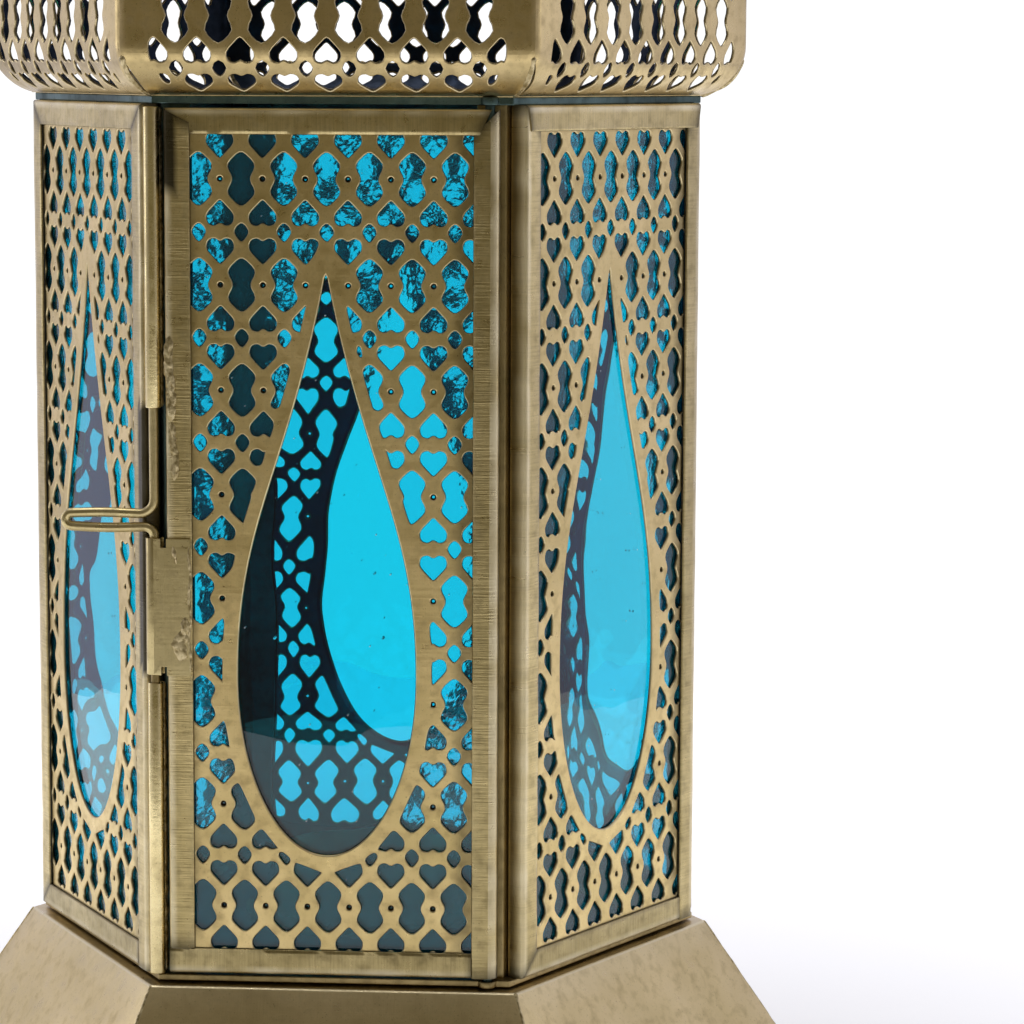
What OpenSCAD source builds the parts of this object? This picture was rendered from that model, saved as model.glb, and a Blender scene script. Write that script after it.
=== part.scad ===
// Hexagonal pierced brass candle lantern with coloured glass panes and a bolted door.
// Millimetres, +Z up. The origin is the centre of the base's underside; the door faces -Y.

/* [Body] */
// Centre to the outer face of the panel frames
face_apothem = 65; // [60:0.5:72]
// Width of a panel frame
frame_w = 68; // [66:0.5:70]
// Height of the fixed panel frames
frame_h = 180; // [178:1:186]
// Visible width of the folded frame channel
rail_w = 5.3; // [4.8:0.1:6]
// Thickness of the folded brass
metal_t = 0.6; // [0.5:0.1:0.7]
// Thickness of the pierced sheet
sheet_t = 0.7; // [0.5:0.1:0.8]
// Thickness of the glass panes
glass_t = 2; // [1.6:0.1:2.1]

/* [Piercing] */
// Distance between columns of the pattern
pitch_x = 8.67; // [8.5:0.01:9]
// Distance between rows of hourglass holes
pitch_y = 21.4; // [21:0.1:21.6]
// Rows of hourglass holes in a panel
panel_rows = 8; // [7:1:8]
// Columns of hourglass holes in a panel
panel_columns = 7; // [5:2:7]
// Plain border between the window and the piercing
border = 3.1; // [2:0.1:4]

/* [Window] */
// Half the greatest width of the teardrop window
tear_half_w = 18.4; // [15:0.1:19]
// Height of the teardrop's lowest point above the frame's foot
tear_foot = 26; // [24:1:30]
// Height of the teardrop's widest part above the frame's foot
tear_waist = 63.3; // [58:0.1:68]
// Height of the teardrop's tip above the frame's foot
tear_tip = 145.7; // [140:0.1:150]

/* [Base] */
// Height of the upright band at the foot
band_h = 14; // [10:1:20]
// Height of the flared skirt
skirt_h = 34; // [28:1:40]
// Flare of the skirt from the vertical, in degrees
skirt_flare = 30; // [24:1:32]

/* [Crown] */
// Centre to the outer face of the crown's upright band
crown_apothem = 72.2; // [71:0.1:74]
// Rows of hourglass holes in the crown
crown_rows = 2; // [2:1:3]
// Height of the bevel below and above the band
bevel_h = 7.9; // [7:0.1:9]

/* [Latch] */
// Diameter of the bolt wire
bolt_d = 2; // [1.8:0.1:2]
// How far the bolt lifts
bolt_travel = 19; // [18.5:0.1:19]
// Length of the hairpin handle from the bolt's axis
handle_reach = 19.4; // [14:0.1:22]

/* [Hanging ring] */
// Radius of the ring to the middle of its wire
ring_r = 17; // [16:0.5:19]
// Angle from upright at which the ring rests against the back of the roof
ring_lean = 153; // [130:1:153]

/* [Hidden] */
$fn = 48;

face_count = 6;
corner_cos = cos(30);
corner_tan = tan(30);
clear = 0.1; // between stacked pieces that don't move

// Base
flange_t = 0.8;
sill_t = 1.3;
base_h = band_h + skirt_h;
body_z = base_h + sill_t;
skirt_top_apothem = 66.2;
skirt_foot_apothem = skirt_top_apothem + skirt_h * tan(skirt_flare);
flange_inner_apothem = 44;
hem_h = 3;
hem_t = 2.4;
sill_outer_apothem = 63.4;
sill_inner_apothem = 50;
floor_apothem = sill_inner_apothem - 0.2;
cup_bore_r = 20;
cup_wall = 0.9;
cup_h = 14;
cup_flange_r = 27;
cup_z = base_h + flange_t;

// Panels
channel_depth = 4.2;
half_w = frame_w / 2;
sheet_y = metal_t + clear;
glass_y = sheet_y + sheet_t + clear;
sheet_left = -33;
sheet_right = 30.4;
sheet_foot = 0.8;
sheet_head = frame_h - 0.8;
pattern_x = -0.8;
window_x = -1.2;
first_row = 15.2;
hole_margin = 0.8;
heart_rise = 6.8;
oval_rise = pitch_y / 2;
pin_hole_r = 0.7;
tear_tip_half_w = 0.5;

// Corner posts
post_apothem = face_apothem - channel_depth - clear;
post_t = 0.8;
post_leg = 6;

// Door
door_gap = 0.8;
door_proud = 0.2;
door_h = frame_h - 2 * door_gap;
roll_r = channel_depth / 2;
pivot_x = half_w - roll_r;
pivot_y = roll_r - face_apothem - door_proud;
pivot_lug_r = 1.9;
pivot_pin_r = 1;
pivot_shank_r = 1.4;
pivot_hole_r = 1.06;
pivot_shank_h = 10;
pivot_tip_h = 1.8;
hinge_bore_r = roll_r - metal_t;

// Latch
bolt_r = bolt_d / 2;
bolt_corner_r = 73.4;
bolt_angle = -120;
bolt_x = bolt_corner_r * cos(bolt_angle);
bolt_y = bolt_corner_r * sin(bolt_angle);
tube_r = 1.6;
tube_bore_r = bolt_r + 0.06;
web_t = 0.9;
web_root = 0.3;
lower_tube_z = [0.4, 61.6];
keeper_z = [63.4, 91.7];
upper_tube_z = [118.4, 179.4];
keeper_r = 1.8;
keeper_bore_r = bolt_r + 0.2;
keeper_t = 0.6;
keeper_lip = 1;
arm_gap = 2.7;
lower_arm_z = keeper_z[1] + 2.2;
upper_arm_z = lower_arm_z + arm_gap;
lower_bend_r = 2;
upper_bend_r = 3;
bolt_foot_z = keeper_z[1] - bolt_travel + 2;
bolt_head_z = upper_tube_z[1] - bolt_travel - 2;
core_r = 1;
core_z = [40, keeper_z[0] - 0.3];

// Crown
head_z = body_z + frame_h;
head_t = 1.6;
crown_z = head_z + head_t;
crown_foot_apothem = 64;
crown_first_row = 8;
crown_columns = 8;
band_rise = 2 * crown_first_row + (crown_rows - 1) * pitch_y;
bevel_in = crown_apothem - crown_foot_apothem;
bevel_length = sqrt(bevel_in * bevel_in + bevel_h * bevel_h);
bevel_angle = atan2(bevel_in, bevel_h);
crown_fold_z = crown_z + bevel_h;
crown_top_z = crown_fold_z + band_rise + bevel_h;
crown_flange = 6;
fold_overlap = 0.3;

// Roof
roof_z = crown_top_z;
roof_rise = 68;
roof_neck_apothem = 9;
roof_foot_apothem = 63.5;
roof_steps = 28;
vent_r = 1.6;
collar_z = roof_z + roof_rise;
collar_r = 13;
collar_t = 1.6;
stem_r = 1.5;
stem_hole_r = 1.56;
nut_r = 3.2;
nut_h = 2.4;
ball_z = collar_z + collar_t;
ball_r = 8.5;
ball_h = 15.5;
eye_r = 5;
eye_wire_r = 1.5;
eye_z = ball_z + ball_h + eye_r + eye_wire_r - 0.4;
ring_wire_r = 1.6;
ring_pivot_z = eye_z - eye_r + eye_wire_r + ring_wire_r + 0.1;

antique_brass = [0.62, 0.52, 0.30];
bright_brass = [0.80, 0.68, 0.38];
blue_glass = [0.05, 0.55, 0.75, 0.5];

// ---------- Plain geometry ----------

function bezier(p, t) =
    pow(1 - t, 3) * p[0] + 3 * pow(1 - t, 2) * t * p[1] + 3 * (1 - t) * t * t * p[2] + pow(t, 3) * p[3];

function reversed(list) = [for (i = [len(list) - 1 : -1 : 0]) list[i]];

function unit(v) = v / norm(v);

// The left-hand normal of a 2-D direction
function left_of(d) = [-d[1], d[0]];

// Where a path's far side lies at point i, one thickness t to the left, mitred
function mitred(path, i, t) =
    let (n = len(path),
         a = left_of(unit(path[min(i + 1, n - 1)] - path[min(i, n - 2)])),
         b = left_of(unit(path[max(i, 1)] - path[max(i - 1, 0)])),
         m = unit(a + b))
    path[i] + m * t / (m * a);

// A path given a thickness to its left, as a closed outline
function strip(path, t) = concat(path, reversed([for (i = [0 : len(path) - 1]) mitred(path, i, t)]));

// The part of a polygon on the side of point q that normal n points to
function kept(poly, q, n) = [
    for (i = [0 : len(poly) - 1])
        let (p = poly[i], r = poly[(i + 1) % len(poly)], a = (p - q) * n, b = (r - q) * n)
        each concat(a >= 0 ? [p] : [], a * b < 0 ? [p + (r - p) * a / (a - b)] : [])
];

function twice_area(poly) =
    abs([for (i = [0 : len(poly) - 1]) cross(poly[i], poly[(i + 1) % len(poly)])] * [for (p = poly) 1]);

// A prism between two heights whose outline is a regular hexagon with flat faces to -Y and +Y
module hexagon_prism(apothem, z0, z1) {
    translate([0, 0, z0]) linear_extrude(z1 - z0)
        polygon([for (i = [0 : face_count - 1]) apothem / corner_cos * [cos(60 * i), sin(60 * i)]]);
}

module hexagon_ring(outer, inner, z0, z1) {
    difference() {
        hexagon_prism(outer, z0, z1);
        hexagon_prism(inner, z0 - 1, z1 + 1);
    }
}

// Turns a piece made for the front face onto face k, counted anticlockwise from above
module on_face(k) {
    rotate([0, 0, 60 * k]) children();
}

// One face of a hexagonal sheet: an outline of [apothem, z] points drawn along the face, mitred at both
// corners and cut level at the height of its first point
module sheet_face(outline) {
    reach = 120;
    foot = outline[0][1];
    rise = max([for (p = outline) p[1]]) - foot + 1;
    intersection() {
        rotate([90, 0, -90]) translate([0, 0, -reach]) linear_extrude(2 * reach) polygon(outline);
        translate([0, 0, foot]) linear_extrude(rise)
            polygon([[0, 0], [-reach * corner_tan, -reach], [reach * corner_tan, -reach]]);
    }
}

// ---------- Piercing ----------

hourglass = [
    [0, 5.5], [-2.65, 2.6], [-1.4, 0], [-2.65, -2.6], [0, -5.5], [2.65, -2.6], [1.4, 0], [2.65, 2.6]
];
heart = [[0, -2.4], [2.7, 0.7], [1.5, 2.4], [0, 1.5], [-1.5, 2.4], [-2.7, 0.7]];
spade = [for (p = heart) -p];
oval = [[0, -1.9], [1.5, 0], [0, 1.9], [-1.5, 0]];

function placed(shape, x, y) = [for (p = shape) [p[0] + x, p[1] + y]];

// Every hole of a field of pattern as a polygon. Hearts stand between the columns and outside the last one,
// and outside the first one too where both_sides is set. Where capped is set, ovals close the top and bottom.
function field(columns, rows, x0, y0, both_sides, capped) =
    let (left = x0 - (columns - 1) / 2 * pitch_x, first = both_sides ? -1 : 0, last = rows - 1)
    [for (i = [first : columns - 1], j = [0 : last])
        let (x = left + i * pitch_x, xm = x + pitch_x / 2, y = y0 + j * pitch_y)
        each concat(
            i >= 0 ? [placed(hourglass, x, y)] : [],
            i >= 0 && (j < last || capped) ? [placed(oval, x, y + oval_rise)] : [],
            i >= 0 && j == 0 && capped ? [placed(oval, x, y - oval_rise)] : [],
            [placed(heart, xm, y + heart_rise), placed(spade, xm, y - heart_rise)],
            capped && j == 0 ? [placed(heart, xm, y - pitch_y + heart_rise)] : [],
            capped && j == last ? [placed(spade, xm, y + pitch_y - heart_rise)] : [])];

// Centres of the small round holes between the hourglasses
function pins(columns, rows, x0, y0) =
    let (left = x0 - (columns - 2) / 2 * pitch_x)
    [for (i = [0 : columns - 2], j = [0 : rows - 1]) [left + i * pitch_x, y0 + j * pitch_y]];

// The teardrop: half an ellipse below its waist and a long curve up to its tip, grown all round by g
function tear_half(g) =
    let (w = tear_half_w + g, tip = tear_tip + 2.2 * g, foot = tear_foot - g,
         side = [[w, tear_waist], [w, tear_waist + 32], [8 + 0.7 * g, tear_waist + 42],
                 [tear_tip_half_w + 0.3 * g, tip - 1]])
    concat(
        [for (a = [-90 : 7.5 : -7.5]) [w * cos(a), tear_waist + (tear_waist - foot) * sin(a)]],
        [for (t = [0 : 1 / 16 : 1]) bezier(side, t)],
        [[0, tip]]);

// The whole outline, anticlockwise
function tear(g) =
    let (half = tear_half(g))
    [for (p = concat(half, [for (i = [len(half) - 2 : -1 : 1]) [-half[i][0], half[i][1]]]))
        [p[0] + window_x, p[1]]];

// The index of the outline point nearest to c
function nearest(outline, c) =
    let (d = [for (q = outline) norm(q - c)], m = min(d)) search(m, d)[0];

// A hole trimmed to stay outside an outline that runs anticlockwise
function trimmed(hole, outline) =
    let (c = [for (p = hole) 1 / len(hole)] * hole,
         i = nearest(outline, c), n = len(outline),
         along = unit(outline[(i + 1) % n] - outline[(i + n - 1) % n]))
    kept(hole, outline[i], -left_of(along));

// The panel's holes, trimmed to the window's border and the sheet's edges; slivers are left out
panel_holes =
    let (edge = tear(border), smallest = 5)
    [for (h = field(panel_columns, panel_rows, pattern_x, first_row, false, false))
        let (a = kept(h, [sheet_right - hole_margin, 0], [-1, 0]),
             b = len(a) > 2 ? kept(a, [sheet_left + hole_margin, 0], [1, 0]) : [],
             c = len(b) > 2 ? trimmed(b, edge) : [])
        if (len(c) > 2 && twice_area(c) > smallest) c];

panel_pins =
    let (edge = tear(border))
    [for (c = pins(panel_columns, panel_rows, pattern_x, first_row))
        let (i = nearest(edge, c), n = len(edge),
             away = -left_of(unit(edge[(i + 1) % n] - edge[(i + n - 1) % n])))
        if ((c - edge[i]) * away > pin_hole_r) c];

// A panel's pierced sheet, drawn flat. The door's is shorter by trim at both ends.
module pierced_panel(trim = 0) {
    foot = sheet_foot + trim;
    difference() {
        translate([sheet_left, foot]) square([sheet_right - sheet_left, sheet_head - trim - foot]);
        polygon(tear(0));
        for (h = panel_holes) polygon(h);
        for (c = panel_pins) translate(c) circle(pin_hole_r);
    }
}

// ---------- Panels: local X along the face, Y into the lantern, Z up from the frame's foot ----------

// Carries a panel piece to face k
module panel_place(k) {
    on_face(k) translate([0, -face_apothem, body_z]) children();
}

// Carries a door piece to the front, a little proud of the other panels and clear at the foot
module door_place(lift = door_gap) {
    translate([0, -face_apothem - door_proud, body_z + lift]) children();
}

// Extrudes a drawing of the panel's face, X and Z, from depth y0 by t
module upright(y0, t) {
    translate([0, y0 + t, 0]) rotate([90, 0, 0]) linear_extrude(t) children();
}

// The folded channel's section, open towards +X, from x = 0 to the rail's width
module channel_section() {
    difference() {
        square([rail_w, channel_depth]);
        translate([metal_t, metal_t]) square([rail_w, channel_depth - 2 * metal_t]);
    }
}

// The hinge side's section, rolled round the pivot pins
module rolled_section() {
    difference() {
        union() {
            translate([roll_r, roll_r]) circle(roll_r);
            translate([roll_r, 0]) square([rail_w - roll_r, channel_depth]);
        }
        translate([roll_r, roll_r]) circle(hinge_bore_r);
        translate([roll_r, metal_t]) square([rail_w, channel_depth - 2 * metal_t]);
    }
}

// The part of the frame's face that a top-mitred left stile takes, from z0 up
module mitre_region(z0, h) {
    left = -half_w - 1;
    right = -half_w + rail_w + 1;
    upright(-1, channel_depth + 2)
        polygon([[left, z0], [right, z0], [right, h - rail_w - 1], [left, h + 1]]);
}

// Left stile, which stands on the bottom rail
module left_stile(h) {
    intersection() {
        translate([-half_w, 0, 0]) linear_extrude(h) channel_section();
        mitre_region(rail_w, h);
    }
}

// Right stile, which runs down past the bottom rail
module right_stile(h, rolled = false) {
    mirror([1, 0, 0]) intersection() {
        translate([-half_w, 0, 0]) linear_extrude(h) if (rolled) rolled_section(); else channel_section();
        mitre_region(-1, h);
    }
}

module top_rail(h) {
    intersection() {
        translate([-half_w, 0, h]) rotate([0, 90, 0]) linear_extrude(frame_w) channel_section();
        upright(-1, channel_depth + 2) polygon([
            [-half_w, h], [-half_w + rail_w, h - rail_w], [half_w - rail_w, h - rail_w], [half_w, h]
        ]);
    }
}

module bottom_rail() {
    length = frame_w - rail_w;
    translate([length - half_w, 0, 0]) rotate([0, -90, 0]) linear_extrude(length) channel_section();
}

module fixed_frame(k) {
    color(antique_brass) panel_place(k) {
        left_stile(frame_h);
        right_stile(frame_h);
        top_rail(frame_h);
        bottom_rail();
    }
}

module pane(trim = 0) {
    foot = sheet_foot + trim;
    color(blue_glass) translate([sheet_left, glass_y, foot])
        cube([sheet_right - sheet_left, glass_t, sheet_head - trim - foot]);
}

module panel_sheet(k) {
    color(antique_brass) panel_place(k) upright(sheet_y, sheet_t) pierced_panel();
}

module panel_glass(k) {
    panel_place(k) pane();
}

// ---------- Door ----------

module door_latch_stile() {
    color(antique_brass) door_place() left_stile(door_h);
}

module door_hinge_stile() {
    color(antique_brass) door_place() right_stile(door_h, true);
}

// The top rail's end over the hinge is round, so that it turns clear of the corner post
module door_top_rail() {
    color(antique_brass) door_place() difference() {
        top_rail(door_h);
        translate([pivot_x, roll_r, door_h - rail_w - 1]) {
            cylinder(r = hinge_bore_r, h = rail_w + 2);
            difference() {
                translate([0, -roll_r - 1, 0]) cube([roll_r + 1, channel_depth + 2, rail_w + 2]);
                cylinder(r = roll_r, h = rail_w + 2);
            }
        }
    }
}

module door_bottom_rail() {
    color(antique_brass) door_place() bottom_rail();
}

module door_sheet() {
    color(antique_brass) door_place(0) upright(sheet_y, sheet_t) pierced_panel(door_gap);
}

module door_glass() {
    door_place(0) pane(door_gap);
}

// Strap soldered to the latch stile and bent into a hood round the front of the bolt, open at the back.
// A notch at each end frees the hood from the strap.
module door_keeper() {
    strap_front = -face_apothem - door_proud - keeper_t;
    strap_right = -half_w + rail_w - 0.3;
    notch = [1.2, 1.8];
    h = keeper_z[1] - keeper_z[0];
    color(antique_brass) translate([0, 0, body_z + keeper_z[0]]) difference() {
        linear_extrude(h) difference() {
            union() {
                translate([bolt_x, bolt_y]) circle(keeper_r);
                translate([bolt_x - keeper_r, bolt_y]) square([2 * keeper_r, keeper_lip]);
                polygon([
                    [bolt_x, bolt_y - keeper_r], [-half_w - 0.4, strap_front], [strap_right, strap_front],
                    [strap_right, strap_front + keeper_t], [-half_w - 0.2, strap_front + keeper_t],
                    [bolt_x + 1.2, bolt_y - 1.2]
                ]);
            }
            translate([bolt_x, bolt_y]) circle(keeper_bore_r);
            translate([bolt_x - keeper_bore_r, bolt_y]) square([2 * keeper_bore_r, 2 * keeper_r]);
        }
        for (z = [-1, h - notch[1]])
            translate([-half_w - notch[0], strap_front - 1, z]) cube([notch[0], keeper_r + 2, notch[1] + 1]);
    }
}

module door_pivot_pins() {
    color(bright_brass) translate([pivot_x, pivot_y, body_z + door_gap]) {
        translate([0, 0, metal_t]) cylinder(r = pivot_shank_r, h = pivot_shank_h);
        translate([0, 0, -pivot_tip_h]) cylinder(r = pivot_pin_r, h = pivot_tip_h + metal_t);
        translate([0, 0, door_h - metal_t - pivot_shank_h]) cylinder(r = pivot_shank_r, h = pivot_shank_h);
        translate([0, 0, door_h - metal_t]) cylinder(r = pivot_pin_r, h = pivot_tip_h + metal_t);
    }
}

// ---------- Corner posts ----------

// The bent strip at the corner in direction angle a
module post(a) {
    tip = post_apothem / corner_cos;
    inner_tip = (post_apothem - post_t) / corner_cos;
    leg = post_leg * [-0.5, corner_cos];
    back = post_t * [-corner_cos, -0.5];
    color(antique_brass) rotate([0, 0, a]) translate([0, 0, body_z]) linear_extrude(frame_h) polygon([
        [tip, 0], [tip, 0] + leg, [tip, 0] + leg + back, [inner_tip, 0],
        [tip + leg[0] + back[0], -leg[1] - back[1]], [tip + leg[0], -leg[1]]
    ]);
}

// ---------- Latch ----------

// A guide tube between two heights, with a web back to the front of the corner post
module bolt_tube(z) {
    tip = post_apothem / corner_cos;
    color(bright_brass) difference() {
        rotate([0, 0, bolt_angle]) translate([0, 0, body_z + z[0]]) linear_extrude(z[1] - z[0]) difference() {
            union() {
                translate([bolt_corner_r, 0]) circle(tube_r);
                translate([tip - web_root, -web_t / 2]) square([bolt_corner_r - tip + web_root, web_t]);
            }
            translate([bolt_corner_r, 0]) circle(tube_bore_r);
        }
        post(bolt_angle);
    }
}

// Wire left in the lower tube, showing in the gap below the keeper
module bolt_tube_core() {
    color(antique_brass) translate([bolt_x, bolt_y, body_z + core_z[0]])
        cylinder(r = core_r, h = core_z[1] - core_z[0]);
}

// A quarter bend of wire. It starts at the origin going up, and ends going towards -X.
module wire_bend(bend_r) {
    translate([-bend_r, 0, 0]) rotate([90, 0, 0])
        rotate_extrude(angle = 90) translate([bend_r, 0]) circle(bolt_r);
}

// One wire: an upper leg, a hairpin handle and a lower leg that drops into the keeper
module latch_bolt() {
    arm = handle_reach - bolt_r - arm_gap / 2;
    color(bright_brass) translate([bolt_x, bolt_y, body_z]) {
        translate([0, 0, upper_arm_z + upper_bend_r])
            cylinder(r = bolt_r, h = bolt_head_z - upper_arm_z - upper_bend_r);
        translate([0, 0, upper_arm_z + upper_bend_r]) mirror([0, 0, 1]) wire_bend(upper_bend_r);
        translate([-arm, 0, upper_arm_z]) rotate([0, 90, 0]) cylinder(r = bolt_r, h = arm - upper_bend_r);
        translate([-arm, 0, upper_arm_z - arm_gap / 2]) rotate([90, 0, 0]) rotate([0, 0, 90])
            rotate_extrude(angle = 180) translate([arm_gap / 2, 0]) circle(bolt_r);
        translate([-arm, 0, lower_arm_z]) rotate([0, 90, 0]) cylinder(r = bolt_r, h = arm - lower_bend_r);
        translate([0, 0, lower_arm_z - lower_bend_r]) wire_bend(lower_bend_r);
        translate([0, 0, bolt_foot_z]) cylinder(r = bolt_r, h = lower_arm_z - lower_bend_r - bolt_foot_z);
    }
}

// ---------- Base ----------

// Upright band, six faces bent from one strip
module base_band() {
    color(antique_brass)
        hexagon_ring(skirt_foot_apothem, skirt_foot_apothem - flange_t, hem_h, band_h);
}

// Folded hem that the lantern stands on
module base_hem() {
    color(antique_brass)
        hexagon_ring(skirt_foot_apothem + 0.6, skirt_foot_apothem + 0.6 - hem_t, 0, hem_h);
}

// Six sloping plates, each with a flange turned in at the top
module base_skirt() {
    level_t = flange_t / cos(skirt_flare);
    bend = skirt_top_apothem - level_t + flange_t * tan(skirt_flare);
    color(antique_brass) for (k = [0 : face_count - 1]) on_face(k) sheet_face([
        [skirt_foot_apothem, band_h], [skirt_top_apothem, base_h], [flange_inner_apothem, base_h],
        [flange_inner_apothem, base_h - flange_t], [bend, base_h - flange_t],
        [skirt_foot_apothem - level_t, band_h]
    ]);
}

// Flat ring above or below the panels, with a lug drilled for the door's pivot
module pivot_ring(z0, z1) {
    difference() {
        union() {
            hexagon_ring(sill_outer_apothem, sill_inner_apothem, z0, z1);
            translate([pivot_x, pivot_y, z0]) cylinder(r = pivot_lug_r, h = z1 - z0);
        }
        translate([pivot_x, pivot_y, z0 - 1]) cylinder(r = pivot_hole_r, h = z1 - z0 + 2);
    }
}

module base_sill() {
    color(antique_brass) pivot_ring(base_h, body_z);
}

module floor_pan() {
    color(antique_brass) hexagon_prism(floor_apothem, base_h, base_h + flange_t);
}

// Cup with a broad foot for one tea light
module candle_cup() {
    color(bright_brass) translate([0, 0, cup_z]) difference() {
        union() {
            cylinder(r = cup_flange_r, h = cup_wall);
            cylinder(r = cup_bore_r + cup_wall, h = cup_h);
        }
        translate([0, 0, cup_wall]) cylinder(r = cup_bore_r, h = cup_h);
    }
}

// ---------- Crown ----------

module body_head() {
    color(antique_brass) pivot_ring(head_z, crown_z);
}

crown_holes = field(crown_columns, crown_rows, 0, crown_first_row, true, true);
crown_pins = pins(crown_columns, crown_rows, 0, crown_first_row);

// The crown's holes between two developed heights, kept in from the corners, which close in by lean per mm
function crown_part(v0, v1, half0, lean) = [
    for (h = crown_holes)
        let (a = kept(h, [0, v0], [0, 1]), b = len(a) > 2 ? kept(a, [0, v1], [0, -1]) : [],
             c = len(b) > 2 ? kept(b, [half0, 0], unit([-1, lean])) : [],
             d = len(c) > 2 ? kept(c, [-half0, 0], unit([1, lean])) : [],
             smallest = 2.4)
        if (len(d) > 2 && twice_area(d) > smallest) d];

// Cuts through the crown's sheet, drawn in the plane of a part of it
module crown_cut() {
    rotate([90, 0, 0]) translate([0, 0, -2 * sheet_t]) linear_extrude(3 * sheet_t) children();
}

module crown_face(k) {
    rim = 0.9;
    corner_gap = 7.2;
    half0 = crown_apothem * corner_tan - corner_gap;
    lean = bevel_in / bevel_length * corner_tan;
    path = [
        [crown_foot_apothem - crown_flange, crown_z], [crown_foot_apothem, crown_z],
        [crown_apothem, crown_fold_z], [crown_apothem, crown_fold_z + band_rise],
        [crown_foot_apothem, crown_top_z], [crown_foot_apothem - crown_flange, crown_top_z]
    ];
    band_holes = crown_part(-fold_overlap, band_rise + fold_overlap, half0, 0);
    bevel_holes = crown_part(rim - bevel_length, fold_overlap, half0, lean);
    color(antique_brass) on_face(k) difference() {
        sheet_face(strip(path, sheet_t));
        translate([0, -crown_apothem, crown_fold_z]) {
            crown_cut() for (h = band_holes) polygon(h);
            crown_cut() for (c = crown_pins) translate(c) circle(pin_hole_r);
            rotate([bevel_angle, 0, 0]) crown_cut() for (h = bevel_holes) polygon(h);
            translate([0, 0, band_rise]) rotate([-bevel_angle, 0, 0]) mirror([0, 0, 1])
                crown_cut() for (h = bevel_holes) polygon(h);
        }
    }
}

// ---------- Roof ----------

// The roof's ogee from its foot to its neck, as [apothem, z]
roof_curve = [
    for (i = [0 : roof_steps])
        bezier([[roof_foot_apothem, roof_z], [58, roof_z + 27], [23, roof_z + 26],
                [roof_neck_apothem, collar_z]], i / roof_steps)
];

// Round vents, each named by its share of the way up the curve and its place across the face
roof_vents = [
    for (row = [[0.16, 5, 9], [0.30, 4, 9], [0.44, 3, 8.5], [0.58, 2, 8]], i = [0 : row[1] - 1])
        [row[0], (i - (row[1] - 1) / 2) * row[2]]
];

module roof_face(k) {
    color(antique_brass) on_face(k) difference() {
        sheet_face(strip(roof_curve, sheet_t));
        for (v = roof_vents)
            let (i = round(v[0] * roof_steps), p = roof_curve[i], d = roof_curve[i + 1] - roof_curve[i - 1])
            translate([v[1], -p[0], p[1]]) rotate([90 - atan2(-d[0], d[1]), 0, 0])
                translate([0, 0, -2]) cylinder(r = vent_r, h = 4);
    }
}

module roof_collar() {
    color(bright_brass) translate([0, 0, collar_z]) difference() {
        cylinder(r = collar_r, h = collar_t);
        translate([0, 0, -1]) cylinder(r = stem_hole_r, h = collar_t + 2);
    }
}

// Turned ball on a short neck, with a flat seat at each end
module finial_ball() {
    neck_r = 4;
    neck_h = 2;
    color(bright_brass) translate([0, 0, ball_z]) difference() {
        union() {
            cylinder(r = neck_r + 1, h = neck_h);
            intersection() {
                translate([0, 0, ball_h / 2]) sphere(ball_r);
                cylinder(r = 2 * ball_r, h = ball_h);
            }
        }
        translate([0, 0, -1]) cylinder(r = stem_hole_r, h = ball_h + 2);
    }
}

// Eye on a stem that runs down through the ball and collar. Its hole faces X, so the ring's wire crosses it.
module hanging_eye() {
    stem_foot = collar_z - nut_h - 2;
    color(bright_brass) {
        translate([0, 0, stem_foot]) cylinder(r = stem_r, h = eye_z - eye_r - stem_foot);
        translate([0, 0, eye_z]) rotate([0, 90, 0]) rotate_extrude() translate([eye_r, 0]) circle(eye_wire_r);
    }
}

module eye_nut() {
    color(bright_brass) translate([0, 0, collar_z - nut_h]) difference() {
        cylinder(r = nut_r, h = nut_h, $fn = 6);
        translate([0, 0, -1]) cylinder(r = stem_hole_r, h = nut_h + 2);
    }
}

// The ring stands in the plane of X and Z when upright, and leans back about the eye
module hanging_ring() {
    color(bright_brass) translate([0, 0, ring_pivot_z]) rotate([-ring_lean, 0, 0])
        translate([0, 0, ring_r]) rotate([90, 0, 0])
            rotate_extrude() translate([ring_r, 0]) circle(ring_wire_r);
}

// ---------- Nodes ----------

base_band();
base_hem();
base_skirt();
base_sill();
floor_pan();
candle_cup();
post(-120);  // post_front_left
post(-60);  // post_front_right
post(0);  // post_right
post(60);  // post_back_right
post(120);  // post_back_left
post(180);  // post_left
fixed_frame(1);  // frame_right_front
fixed_frame(2);  // frame_right_back
fixed_frame(3);  // frame_back
fixed_frame(4);  // frame_left_back
fixed_frame(5);  // frame_left_front
panel_sheet(1);  // sheet_right_front
panel_sheet(2);  // sheet_right_back
panel_sheet(3);  // sheet_back
panel_sheet(4);  // sheet_left_back
panel_sheet(5);  // sheet_left_front
panel_glass(1);  // glass_right_front
panel_glass(2);  // glass_right_back
panel_glass(3);  // glass_back
panel_glass(4);  // glass_left_back
panel_glass(5);  // glass_left_front
door_latch_stile();
door_hinge_stile();
door_top_rail();
door_bottom_rail();
door_sheet();
door_glass();
door_keeper();
door_pivot_pins();
bolt_tube(upper_tube_z);  // bolt_tube_upper
bolt_tube(lower_tube_z);  // bolt_tube_lower
bolt_tube_core();
latch_bolt();
body_head();
crown_face(0);  // crown_front
crown_face(1);  // crown_right_front
crown_face(2);  // crown_right_back
crown_face(3);  // crown_back
crown_face(4);  // crown_left_back
crown_face(5);  // crown_left_front
roof_face(0);  // roof_front
roof_face(1);  // roof_right_front
roof_face(2);  // roof_right_back
roof_face(3);  // roof_back
roof_face(4);  // roof_left_back
roof_face(5);  // roof_left_front
roof_collar();
finial_ball();
hanging_eye();
eye_nut();
hanging_ring();
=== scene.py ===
from math import atan2, copysign, cos, hypot, pi, radians, sin, sqrt, tan, tau

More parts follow.
